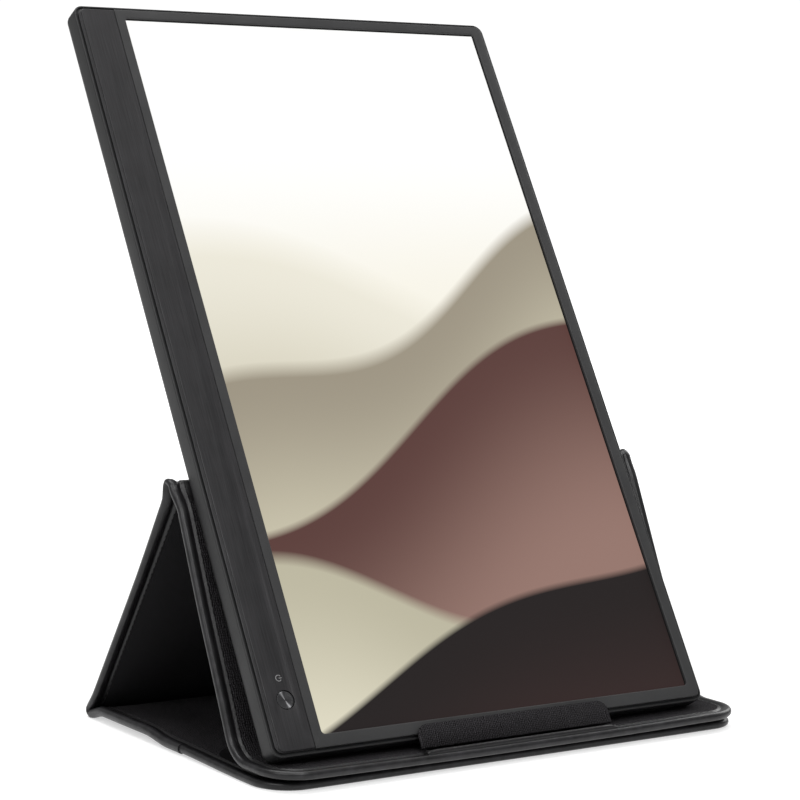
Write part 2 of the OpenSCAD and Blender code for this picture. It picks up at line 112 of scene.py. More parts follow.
def joint_place(name: str) -> Vector:
    """Place of a joint's axis in the frame."""
    found = next(j for j in frame["joints"] if j["name"] == name)
    return Vector(found["pos_m"])


def mesh_of(name: str, points: Iterable[Sequence[float]], faces: Iterable[Face]) -> bpy.types.Mesh:
    """Make a mesh from points and faces.

    Args:
        name: Name of the mesh.
        points: Corner places.
        faces: Corner numbers of each face, counter-clockwise seen from outside.

    Returns:
        The mesh, shaded smooth up to SMOOTH_ANGLE.
    """
    mesh = bpy.data.meshes.new(name)
    mesh.from_pydata([tuple(p) for p in points], [], [tuple(f) for f in faces])
    mesh.validate()
    smooth(mesh)
    return mesh


def smooth(mesh: bpy.types.Mesh, angle: float = SMOOTH_ANGLE) -> None:
    """Shade a mesh smooth, with edges sharper than angle kept sharp."""
    mesh.shade_smooth()
    mesh.set_sharp_from_angle(angle=angle)


def outward(mesh: bpy.types.Mesh) -> None:
    """Turn the faces of each closed shell of a mesh outwards."""
    work = bmesh.new()
    work.from_mesh(mesh)
    bmesh.ops.remove_doubles(work, verts=work.verts, dist=1e-7)
    bmesh.ops.recalc_face_normals(work, faces=work.faces)
    work.to_mesh(mesh)
    work.free()


def shown(name: str, data: bpy.types.ID) -> bpy.types.Object:
    """Put a mesh, curve, light or camera in the scene as an object at the origin."""
    piece = bpy.data.objects.new(name, data)
    bpy.context.scene.collection.objects.link(piece)
    return piece


def apply_modifiers(piece: bpy.types.Object) -> None:
    """Replace a piece's mesh by what its modifiers make of it, and remove them."""
    graph = bpy.context.evaluated_depsgraph_get()
    made = bpy.data.meshes.new_from_object(piece.evaluated_get(graph))
    piece.modifiers.clear()
    piece.data = made


def loft(rings: Sequence[Ring], wrap: bool = False) -> tuple[list[Vector], list[Face]]:
    """Join rings of equal length into a closed skin.

    Args:
        rings: Closed rings of points, one after another.
        wrap: Join the last ring to the first, in place of a cap on each.

    Returns:
        Points and faces.
    """
    count = len(rings[0])
    points = [p for ring in rings for p in ring]
    faces: list[Face] = []
    for i in range(len(rings) if wrap else len(rings) - 1):
        a, b = i * count, ((i + 1) % len(rings)) * count
        faces += [(a + j, a + (j + 1) % count, b + (j + 1) % count, b + j) for j in range(count)]
    if not wrap:
        faces += [tuple(reversed(range(count))), tuple(range(len(points) - count, len(points)))]
    return points, faces


def map_sheet(mesh: bpy.types.Mesh, flat: Callable[[Vector], Sequence[float]]) -> None:
    """Give a mesh its own flat coordinates, worked out from the place of each corner."""
    layer = mesh.uv_layers.new(name=SHEET_MAP)
    for loop in mesh.loops:
        layer.data[loop.index].uv = flat(mesh.vertices[loop.vertex_index].co)


def pegs(places: Sequence[Sequence[float]], radius: float, depth: float, segments: int) -> bpy.types.Mesh:
    """Upright round pegs at the given places, as one mesh to cut with."""
    work = bmesh.new()
    for place in places:
        bmesh.ops.create_cone(work, cap_ends=True, segments=segments, radius1=radius, radius2=radius,
                              depth=depth, matrix=Matrix.Translation(place))
    mesh = bpy.data.meshes.new("pegs")
    work.to_mesh(mesh)
    work.free()
    return mesh


def cut(piece: bpy.types.Object, cutter: bpy.types.Mesh) -> None:
    """Cut the closed shapes of a mesh out of a piece."""
    tool = shown("cutter", cutter)
    outward(cutter)
    step = piece.modifiers.new("cut", "BOOLEAN")
    step.operation = "DIFFERENCE"
    step.solver = "EXACT"
    step.object = tool
    apply_modifiers(piece)
    bpy.data.objects.remove(tool)
    smooth(piece.data)


def rounded_ring(x0: float, x1: float, y0: float, y1: float, z: float, radii: Sequence[float],
                 steps: int = 10) -> Ring:
    """Ring of points round a rectangle with round corners.

    Args:
        x0: Left side.
        x1: Right side.
        y0: Lower side.
        y1: Upper side.
        z: Height of the ring.
        radii: Corner radii, from the lower left corner counter-clockwise.
        steps: Steps round each corner.

    Returns:
        The ring, counter-clockwise.
    """
    corners = [(x0, y0, 1, 1, 180), (x1, y0, -1, 1, 270), (x1, y1, -1, -1, 0), (x0, y1, 1, -1, 90)]
    ring: Ring = []
    for (x, y, sx, sy, start), r in zip(corners, radii):
        ring += [Vector((x + sx * r + r * math.cos(a), y + sy * r + r * math.sin(a), z))
                 for a in turns(start, start + 90, steps)]
    return ring


# ---------- the finishes ----------

class Finish(Enum):
    """The finishes of the object. Each value is the record's material slot."""

    LEATHER = "leather"
    WEAVE = "weave"
    TWILL = "twill"
    BOARD = "board"
    MAGNET = "magnet"
    SHELL = "shell"
    CHIN = "chin"
    PANEL = "panel_glass"
    FILM = "film"
    GUIDE = "guide"
    LAMP = "lamp"
    TRAY = "tray"
    TAPE = "tape"
    PCB = "pcb"
    CHIP = "chip"
    FLEX = "flex"
    STEEL = "steel"
    BUTTON = "button"


class Wiring:
    """Short calls for making and linking the nodes of a tree."""

    tree: bpy.types.NodeTree

    def new(self, kind: str, **settings: object) -> bpy.types.Node:
        """Add a node and set its properties."""
        node = self.tree.nodes.new(kind)
        for key, value in settings.items():
            setattr(node, key, value)
        return node

    def feed(self, socket: bpy.types.NodeSocket, value: object) -> None:
        """Link an output to a socket, or set the socket to a plain value."""
        if isinstance(value, bpy.types.NodeSocket):
            self.tree.links.new(value, socket)
        else:
            socket.default_value = value

    def fill(self, node: bpy.types.Node, **values: object) -> bpy.types.Node:
        """Feed sockets of a node, named with underscores for spaces."""
        for key, value in values.items():
            self.feed(node.inputs[key.replace("_", " ")], value)
        return node

    def sum(self, kind: str, *values: object) -> bpy.types.NodeSocket:
        """One Math node of the given operation."""
        node = self.new("ShaderNodeMath", operation=kind)
        for socket, value in zip(node.inputs, values):
            self.feed(socket, value)
        return node.outputs[0]


class Nodes(Wiring):
    """A material's node tree, with short calls for the nodes that the finishes share."""

    def __init__(self, name: str) -> None:
        """Start a material with one Principled shader."""
        self.material = bpy.data.materials.new(name)
        self.material.use_nodes = True
        self.tree = self.material.node_tree
        self.shader = self.tree.nodes["Principled BSDF"]
        self.place = self.new("ShaderNodeTexCoord").outputs["Object"]

    def sheet(self) -> bpy.types.NodeSocket:
        """The piece's own flat coordinates, in metres."""
        return self.new("ShaderNodeUVMap", uv_map=SHEET_MAP).outputs[0]

    def axes(self, vector: bpy.types.NodeSocket) -> tuple[bpy.types.NodeSocket, ...]:
        """The three parts of a vector."""
        node = self.new("ShaderNodeSeparateXYZ")
        self.feed(node.inputs[0], vector)
        return tuple(node.outputs)

    def stretched(self, scale: Flat, lean: float) -> bpy.types.NodeSocket:
        """Object coordinates leaned about X and then scaled along each axis."""
        node = self.new("ShaderNodeMapping", vector_type="TEXTURE")
        return self.fill(node, Vector=self.place, Rotation=(-lean, 0, 0),
                         Scale=tuple(1 / s for s in scale)).outputs[0]

    def texture(self, kind: str, scale: float, vector: object = None, **settings: object) -> bpy.types.Node:
        """A texture node of the given scale, in object coordinates unless others are given."""
        return self.fill(self.new(kind, **settings), Vector=vector or self.place, Scale=scale)

    def noise(self, scale: float, detail: float = 3, vector: object = None) -> bpy.types.NodeSocket:
        """Soft noise from 0 to 1."""
        node = self.texture("ShaderNodeTexNoise", scale, vector)
        return self.fill(node, Detail=detail, Roughness=0.55).outputs["Fac"]

    def cells(self, scale: float) -> bpy.types.NodeSocket:
        """Distance to the cells of a pebbled surface."""
        return self.texture("ShaderNodeTexVoronoi", scale, feature="SMOOTH_F1").outputs["Distance"]

    def range(self, value: bpy.types.NodeSocket, low: float, high: float, to_low: float,
              to_high: float) -> bpy.types.NodeSocket:
        """Carry a value from one range to another."""
        node = self.new("ShaderNodeMapRange", clamp=True)
        for socket, number in zip(node.inputs, (value, low, high, to_low, to_high)):
            self.feed(socket, number)
        return node.outputs[0]

    def ramp(self, value: bpy.types.NodeSocket, stops: Sequence[tuple[float, Flat]],
             smooth_steps: bool = False) -> bpy.types.NodeSocket:
        """Colour ramp through the given stops."""
        node = self.new("ShaderNodeValToRGB")
        node.color_ramp.interpolation = "EASE" if smooth_steps else "LINEAR"
        elements = node.color_ramp.elements
        while len(elements) < len(stops):
            elements.new(0.5)
        for element, (place, colour) in zip(elements, stops):
            element.position = place
            element.color = (*colour, 1)
        self.feed(node.inputs[0], value)
        return node.outputs[0]

    def mix(self, share: object, first: object, second: object, kind: str = "MIX") -> bpy.types.NodeSocket:
        """Mix two colours."""
        node = self.new("ShaderNodeMix", data_type="RGBA", blend_type=kind)
        for name, value in (("Factor_Float", share), ("A_Color", first), ("B_Color", second)):
            socket = next(s for s in node.inputs if s.identifier == name)
            self.feed(socket, (*value, 1) if isinstance(value, tuple) and len(value) == 3 else value)
        return next(s for s in node.outputs if s.identifier == "Result_Color")

    def bump(self, height: bpy.types.NodeSocket, distance: float, strength: float = 1.0) -> None:
        """Add a bump to the shader, on top of the bumps that it has."""
        node = self.fill(self.new("ShaderNodeBump"), Strength=strength, Distance=distance, Height=height)
        normal = self.shader.inputs["Normal"]
        if normal.is_linked:
            self.feed(node.inputs["Normal"], normal.links[0].from_socket)
        self.feed(normal, node.outputs[0])

    def attribute(self, name: str) -> bpy.types.NodeSocket:
        """A number stored on the piece's points."""
        return self.new("ShaderNodeAttribute", attribute_name=name).outputs["Fac"]

    def set(self, **values: object) -> None:
        """Set sockets of the shader, named with underscores for spaces."""
        self.fill(self.shader, **values)


@dataclass(frozen=True)
class Leatherette:
    """Soft black leather cloth of the bound edges, folds and outer skins."""

    dark: Flat = (0.004, 0.0038, 0.0042)
    light: Flat = (0.0085, 0.008, 0.0088)
    # Lighter edge tone: scuffing and a painted highlight on the roll.
    worn_sheen: Flat = (0.017, 0.0165, 0.0185)
    pebble: float = 0.75 * MM
    pebble_depth: float = 0.05 * MM

    def build(self) -> bpy.types.Material:
        """Fine pebbled grain, a little lighter near the edge: partly scuffing from use, partly a painted
        highlight along the edge roll.
        """
        n = Nodes("leatherette")
        mottle = n.noise(90, 4)
        base = n.ramp(n.range(mottle, 0.3, 0.7, 0, 1), [(0, self.dark), (1, self.light)])
        # Lighter near the edge, in noisy patches: scuffing and a painted highlight along the roll.
        rub_and_sheen = n.sum("MULTIPLY", n.attribute(WEAR_AND_SHEEN), n.range(n.noise(210, 3), 0.4, 0.75, 0, 1))
        n.set(Base_Color=n.mix(rub_and_sheen, base, self.worn_sheen))
        n.set(Roughness=n.range(n.noise(150, 3), 0.3, 0.7, 0.29, 0.41), Specular_IOR_Level=0.34)
        n.bump(n.noise(260, 2), 0.12 * MM, 0.5)
        n.bump(n.cells(1 / self.pebble), self.pebble_depth, 0.7)
        n.bump(n.noise(4200, 2), 0.02 * MM, 0.5)
        return n.material


@dataclass(frozen=True)
class RibbedWeave:
    """Black cloth with rows of small raised dots, on the faces that hold the monitor."""

    name: str = "ribbed_weave"
    # Painted shade: colour of the gaps between the dots.
    pit_shade: Flat = (0.0008, 0.0008, 0.0009)
    thread: Flat = (0.034, 0.032, 0.0345)
    pitch_across: float = 1.02 * MM
    pitch_along: float = 1.1 * MM
    depth: float = 0.3 * MM

    def build(self) -> bpy.types.Material:
        """Dots in slightly straying rows, with yarn fuzz over them, and painted shade in the gaps between
        them.
        """
        n = Nodes(self.name)
        across, along, _ = n.axes(n.sheet())
        stray = n.range(n.noise(420, 2), 0.3, 0.7, -1.3, 1.3)
        column = n.sum("ADD", n.sum("MULTIPLY", across, math.pi / self.pitch_across), stray)
        row = n.sum("ADD", n.sum("MULTIPLY", along, math.pi / self.pitch_along), stray)
        dots = n.sum("MULTIPLY", n.sum("ABSOLUTE", n.sum("SINE", column)),
                     n.range(n.sum("ABSOLUTE", n.sum("SINE", row)), 0, 1, 0.35, 1))
        fuzz = n.noise(5200, 3)
        cloth = n.noise(130, 4)
        height = n.sum("ADD", n.sum("POWER", dots, 0.9), n.sum("MULTIPLY", fuzz, 0.3))
        # Painted shade: the lower the cloth, the darker its colour.
        lit = n.ramp(height, [(0.3, self.pit_shade), (1.0, self.thread)])
        shade = n.range(cloth, 0.3, 0.7, 0.75, 1.15)
        n.set(Base_Color=n.mix(1.0, lit, n.ramp(shade, [(0, (0.4, 0.4, 0.4)), (1, (1, 1, 1))]), "MULTIPLY"),
              Roughness=0.9, Specular_IOR_Level=0.05)
        n.bump(n.noise(160, 2), 0.2 * MM, 0.4)
        n.bump(height, self.depth, 0.9)
        return n.material


@dataclass(frozen=True)
class FineTwill:
    """Smoother lining cloth with fine slanting ribs."""

    # Painted shade: colour of the grooves between the ribs.
    pit_shade: Flat = (0.001, 0.001, 0.0011)
    thread: Flat = (0.021, 0.0205, 0.0218)
    pitch: float = 0.95 * MM
    slant: float = 0.62

    def build(self) -> bpy.types.Material:
        """Slanting ribs broken by yarn noise, with painted shade in the grooves between them."""
        n = Nodes("fine_twill")
        across, along, _ = n.axes(n.sheet())
        slanted = n.sum("ADD", along, n.sum("MULTIPLY", across, self.slant))
        rib = n.sum("ABSOLUTE", n.sum("SINE", n.sum("MULTIPLY", slanted, math.pi / self.pitch)))
        yarn = n.noise(3600, 3)
        height = n.sum("ADD", rib, n.sum("MULTIPLY", yarn, 0.5))
        # Painted shade: the lower the cloth, the darker its colour.
        n.set(Base_Color=n.ramp(height, [(0.1, self.pit_shade), (1.0, self.thread)]), Roughness=0.8,
              Specular_IOR_Level=0.05)
        n.bump(n.noise(110, 3), 0.3 * MM, 0.4)
        n.bump(height, 0.16 * MM, 0.9)
        return n.material


@dataclass(frozen=True)
class Thread:
    """Waxed sewing thread."""

    colour: Flat = (0.019, 0.0185, 0.0195)

    def build(self) -> bpy.types.Material:
        """Thin twisted strands."""
        n = Nodes("thread")
        strand = n.noise(7000, 2)
        n.set(Base_Color=n.ramp(strand, [(0.25, tuple(c * 0.5 for c in self.colour)), (0.75, self.colour)]),
              Roughness=0.45, Specular_IOR_Level=0.4)
        n.bump(strand, 0.05 * MM, 0.6)
        return n.material


@dataclass(frozen=True)
class SatinShell:
    """Finely textured dark plastic of the housing and the bezel. The housing's tones are set darker as
    painted shade on its side band; the bezel gets a lighter copy as painted light on its up-tilted face.
    """

    name: str = "satin_shell"
    # Housing tones: the plastic's own dark grey, set darker still as painted shade on the side band.
    dark: Flat = (0.0095, 0.0095, 0.010)
    light: Flat = (0.0145, 0.0145, 0.015)
    roughness: tuple[float, float] = (0.4, 0.5)
    grain: float = 4300
    depth: float = 0.02 * MM

    def build(self) -> bpy.types.Material:
        """Spark-eroded grain with a faint handling mottle."""
        n = Nodes(self.name)
        speck = n.noise(self.grain, 3)
        mottle = n.noise(45, 3)
        tone = n.sum("ADD", n.sum("MULTIPLY", speck, 0.6), n.sum("MULTIPLY", mottle, 0.4))
        n.set(Base_Color=n.ramp(n.range(tone, 0.35, 0.65, 0, 1), [(0, self.dark), (1, self.light)]),
              Roughness=n.range(mottle, 0.3, 0.7, *self.roughness), Specular_IOR_Level=0.3)
        n.bump(speck, self.depth, 0.55)
        return n.material


@dataclass(frozen=True)
class BrushedChin:
    """Dark strip brushed along its length."""

    dark: Flat = (0.0105, 0.0102, 0.0108)
    light: Flat = (0.0275, 0.0265, 0.0282)
    lean: float = math.radians(31)

    def build(self) -> bpy.types.Material:
        """Long thin scratches that run up the monitor."""
        n = Nodes("brushed_chin")
        fine, coarse = (n.noise(1, 2, n.stretched(scale, self.lean))
                        for scale in ((3000, 5200, 60), (900, 1500, 30)))
        lines = n.sum("ADD", n.sum("MULTIPLY", fine, 0.55),
                      n.sum("ADD", n.sum("MULTIPLY", coarse, 0.2), n.sum("MULTIPLY", n.noise(70, 3), 0.25)))
        sharp = n.range(lines, 0.34, 0.66, 0, 1)
        n.set(Base_Color=n.ramp(sharp, [(0, self.dark), (1, self.light)]), Metallic=0.2,
              Roughness=n.range(sharp, 0, 1, 0.44, 0.34), Specular_IOR_Level=0.3)
        n.bump(sharp, 0.018 * MM, 0.5)
        return n.material


@dataclass(frozen=True)
class SpunMetal:
    """Dark metal turned on a lathe, with rings round the middle of the button."""

    dark: Flat = (0.018, 0.018, 0.019)
    light: Flat = (0.045, 0.045, 0.047)
    # Colour of the painted highlight: a bright band fixed on the cap in place of a lamp's reflection.
    painted_glint: Flat = (0.34, 0.34, 0.35)
    painted_streak_at: float = math.radians(112)
    ring: float = 0.16 * MM

    def build(self) -> bpy.types.Material:
        """Turning rings read from the button's polar map, stretched gloss along them, and a painted highlight
        as a bright band at one fixed angle round the cap.
        """
        n = Nodes("spun_metal")
        turn, radius, _ = n.axes(n.sheet())
        # Painted highlight: a narrow bright band at one fixed angle round the cap, weaker towards the rim.
        facing = n.sum("COSINE", n.sum("SUBTRACT", n.sum("MULTIPLY", turn, 2 * math.pi), self.painted_streak_at))
        painted_streak = n.sum("MULTIPLY", n.sum("POWER", n.sum("ABSOLUTE", facing), 60),
                       n.range(radius, 0, 3.4 * MM, 1.0, 0.75))
        rings = n.sum("SINE", n.sum("MULTIPLY", radius, 2 * math.pi / self.ring))
        wave = n.range(rings, -1, 1, 0, 1)
        turned = n.ramp(wave, [(0, self.dark), (1, self.light)])
        n.set(Base_Color=n.mix(painted_streak, turned, self.painted_glint), Metallic=0.6, Roughness=0.36, Anisotropic=0.8)
        n.feed(n.shader.inputs["Tangent"],
               n.new("ShaderNodeTangent", direction_type="UV_MAP", uv_map=SHEET_MAP).outputs[0])
        n.bump(wave, 0.01 * MM, 0.4)
        return n.material


@dataclass(frozen=True)
class LitPicture:
    """Matte display with a lit picture of soft layered dunes."""

    sky: tuple[Flat, ...] = ((1.0, 1.0, 0.99), (0.93, 0.90, 0.80), (0.84, 0.79, 0.62))
    # Share of the window that is lit across and up; beyond it, at the right and top only, a thin black strip
    # of painted shade stands in for the recess wall.
    shade_free_width: float = 0.9964
    shade_free_height: float = 0.99826
    strength: float = 1.0

    def build(self) -> bpy.types.Material:
        """Dune bands, each with its own crest line, over a pale sky."""
        n = Nodes("lit_picture")
        across, up, _ = n.axes(n.sheet())
        sky = n.ramp(up, [(0.0, self.sky[2]), (0.55, self.sky[1]), (0.82, self.sky[0])], True)
        picture = sky
        for band in DUNES:
            picture = band.over(n, picture, across, up)
        # Painted shade: the picture is blacked out along the window's right and top edges, where the recess
        # wall shows.
        lit = n.sum("MULTIPLY", *(
            n.sum("MULTIPLY", n.sum("GREATER_THAN", place, 0), n.sum("LESS_THAN", place, end))
            for place, end in ((across, self.shade_free_width), (up, self.shade_free_height))))
        n.set(Base_Color=(0.004, 0.004, 0.004, 1), Roughness=0.42, Specular_IOR_Level=0.12,
              Emission_Color=n.mix(lit, (0.0, 0.0, 0.0), picture), Emission_Strength=self.strength)
        n.bump(n.noise(9000, 1), 0.004 * MM, 0.3)
        return n.material


@dataclass(frozen=True)
class Dune:
    """One soft band of the picture, below a waving crest."""

    crest: float
    slope: float
    wave: float
    turns: float
    phase: float
    soft: float
    top: Flat
    foot: Flat

    def over(self, n: Nodes, below: bpy.types.NodeSocket, across: bpy.types.NodeSocket,
             up: bpy.types.NodeSocket) -> bpy.types.NodeSocket:
        """Lay this band over a picture.

        Args:
            n: Tree to build in.
            below: Picture so far.
            across: Place across the picture, 0 to 1.
            up: Place up the picture, 0 to 1.

        Returns:
            The picture with the band on it.
        """
        swing = n.sum("SINE", n.sum("ADD", n.sum("MULTIPLY", across, self.turns * 2 * math.pi), self.phase))
        line = n.sum("ADD", n.sum("ADD", n.sum("MULTIPLY", across, self.slope), self.crest),
                     n.sum("MULTIPLY", swing, self.wave))
        depth = n.sum("SUBTRACT", line, up)
        share = n.range(depth, -self.soft, self.soft, 0, 1)
        tone = n.ramp(n.range(depth, 0, 0.34, 0, 1), [(0, self.top), (1, self.foot)], True)
        return n.mix(share, below, tone)


DUNES = (
    Dune(0.66, -0.16, 0.035, 0.8, 0.4, 0.030, (0.84, 0.81, 0.70), (0.60, 0.56, 0.43)),
    Dune(0.44, 0.22, 0.040, 0.9, 2.1, 0.012, (0.33, 0.29, 0.22), (0.66, 0.62, 0.47)),
    Dune(0.30, 0.20, 0.050, 0.7, 4.2, 0.006, (0.10, 0.042, 0.036), (0.30, 0.18, 0.15)),
    Dune(0.20, -0.12, 0.030, 1.1, 1.2, 0.010, (0.50, 0.47, 0.35), (0.82, 0.78, 0.62)),
    Dune(0.02, 0.17, 0.025, 0.8, 5.3, 0.005, (0.012, 0.008, 0.008), (0.05, 0.024, 0.022)),
)


@dataclass(frozen=True)
class Plain:
    """Hidden or small piece: two tones broken by noise, with a light texture."""

    name: str
    dark: Flat
    light: Flat
    roughness: float = 0.6
    metallic: float = 0.0
    scale: float = 900
    depth: float = 0.02 * MM
    emission: float = 0.0

    def build(self) -> bpy.types.Material:
        """Noise between two tones."""
        n = Nodes(self.name)
        speck = n.noise(self.scale, 4)
        tone = n.ramp(n.range(speck, 0.3, 0.7, 0, 1), [(0, self.dark), (1, self.light)])
        n.set(Base_Color=tone, Roughness=self.roughness, Metallic=self.metallic)
        if self.emission > 0:
            n.set(Emission_Color=tone, Emission_Strength=self.emission)
        n.bump(speck, self.depth, 0.5)
        return n.material


BUILDERS = {
    Finish.LEATHER: Leatherette(),
    Finish.WEAVE: RibbedWeave(),
    Finish.TWILL: FineTwill(),
    Finish.BOARD: Plain("black_board", (0.008, 0.008, 0.008), (0.014, 0.0135, 0.013), 0.9, scale=700,
                        depth=0.1 * MM),
    Finish.MAGNET: Plain("nickel_magnet", (0.42, 0.43, 0.45), (0.55, 0.56, 0.58), 0.28, 1.0),
    Finish.SHELL: SatinShell(),
    Finish.CHIN: BrushedChin(),
    Finish.PANEL: LitPicture(),
    Finish.FILM: Plain("diffuser_film", (0.72, 0.74, 0.76), (0.84, 0.85, 0.87), 0.35),
    Finish.GUIDE: Plain("light_guide", (0.62, 0.72, 0.78), (0.74, 0.82, 0.88), 0.12),
    Finish.LAMP: Plain("lamp_strip", (0.86, 0.82, 0.66), (0.95, 0.93, 0.85), 0.5),
    Finish.TRAY: Plain("rolled_tray", (0.46, 0.47, 0.49), (0.6, 0.61, 0.63), 0.38, 1.0, 400),
    Finish.TAPE: Plain("black_tape", (0.006, 0.006, 0.006), (0.014, 0.014, 0.014), 0.75),
    Finish.PCB: Plain("solder_mask", (0.008, 0.055, 0.026), (0.014, 0.085, 0.04), 0.35, scale=300),
    Finish.CHIP: Plain("chip_resin", (0.008, 0.008, 0.009), (0.018, 0.018, 0.02), 0.55, scale=3000),
    Finish.FLEX: Plain("polyimide_flex", (0.19, 0.085, 0.022), (0.28, 0.13, 0.04), 0.3, scale=500),
    Finish.STEEL: Plain("bright_steel", (0.50, 0.50, 0.51), (0.66, 0.66, 0.67), 0.26, 1.0, 1500),
    Finish.BUTTON: SpunMetal(),
}


class Bench:
    """Dresses finished pieces, puts them on their bodies and reports them."""

    def __init__(self) -> None:
        """Build each finish once."""
        self.materials = {finish: style.build() for finish, style in BUILDERS.items()}
        self.thread = Thread().build()
        self.fine_weave = RibbedWeave("fine_weave", thread=(0.034, 0.032, 0.0345), pitch_across=0.84 * MM,
                                      pitch_along=0.78 * MM, depth=0.26 * MM).build()
        self.count = 0

    def dress(self, piece: bpy.types.Object, finish: Finish,
              material: bpy.types.Material | None = None) -> None:
        """Give a piece the material of its finish, or the material given in its place."""
        piece.data.materials.clear()
        piece.data.materials.append(material or self.materials[finish])

    def fit(self, piece: bpy.types.Object, finish: Finish, body: "str | Crease",
            stands_for: Sequence[str] = (), material: bpy.types.Material | None = None) -> bpy.types.Object:
        """Dress a piece and put it on a body; a piece that crosses a crease is left where it is, on no body.

        Args:
            piece: The finished piece.
            finish: Its finish.
            body: Name of the body that carries it, or the crease that the piece crosses, which puts it on no
                body.
            stands_for: Nodes of the frame that it replaces.
            material: Material to use instead of the finish's own.

        Returns:
            The piece.
        """
        self.dress(piece, finish, material)
        if isinstance(body, Crease):
            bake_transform(piece)
        else:
            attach(piece, body)
        if stands_for:
            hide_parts(*stands_for)
        self.count += 1
        where = body if isinstance(body, str) else f"{body.first} to {body.second}"
        LOG.info("%s: %d faces, %s, on %s", piece.name, len(piece.data.polygons), finish.value, where)
        return piece


# ---------- the cover, modelled flat and then folded ----------

@dataclass(frozen=True)
class Crease:
    """A fold between two panels, and the places between which the sheet turns."""

    first: str
    second: str
    start: Vector
    end: Vector


@dataclass
class CoverSizes:
    """Sizes of the folding cover."""

    edge_t: float = 3.6 * MM
    edge_w: float = 6.5 * MM
    corner_r: float = 18 * MM
    board_t: float = 2 * MM
    cloth_step: float = 0.2 * MM
    strip_w: float = 7 * MM
    ledge_bend: float = 14.2 * MM
    apex_r: float = 3.4 * MM
    rear_r: float = 3.2 * MM
    fold_squeeze: float = 0.85
    squeeze_at: tuple[float, float] = (0.8 * MM, 3.4 * MM)
    strut_out_top: float = 0.1 * MM
    strut_out_foot: float = 2.7 * MM
    strut_edge_out: float = 1.7 * MM
    rear_bulge: float = 1.0 * MM
    bulge_reach: float = 11 * MM
    skew: float = 0.8 * MM
    skew_rise: float = 60 * MM
    skew_fall: float = 90 * MM
    apex_droop: tuple[float, float] = (3.8 * MM, -0.5 * MM)
    droop_at: tuple[float, float] = (0.88, 1.0)
    droop_right: float = 0.3
    droop_reach: float = 11 * MM
    stand_at: tuple[float, float] = (0.95, 0.995)
    stand_run: tuple[float, float] = (6 * MM, 66 * MM)
    base_corner_r: float = 12.7 * MM
    base_corner_reach: float = 45 * MM
    turn_reach: float = 6 * MM
    ledge_reach: float = 9.5 * MM
    base_waves: tuple[Flat, ...] = ((2.9, 0, 13), (-1.9, 52, 72), (-1.0, 76, 140))
    wave_at_middle: float = 0.3
    front_sag: tuple[float, float] = (-0.6 * MM, 0.95 * MM)
    unevenness: float = 0.10 * MM
    half_w: float = field(init=False)
    front: float = field(init=False)
    base_front: float = field(init=False)

    def __post_init__(self) -> None:
        """Read the outer sizes from the frame."""
        low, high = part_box("bottom_binding")
        self.half_w = (high.x - low.x) / 2
        self.base_front = low.y
        self.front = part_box("ledge_binding")[0].y


class Station(Enum):
    """Places along the cover, from the ledge's front edge to the bottom's front edge."""

    LEDGE_FRONT = 0
    BEND_START = 1
    BEND_END = 2
    APEX_START = 3
    APEX_END = 4
    REAR_START = 5
    REAR_END = 6
    BASE_FRONT = 7


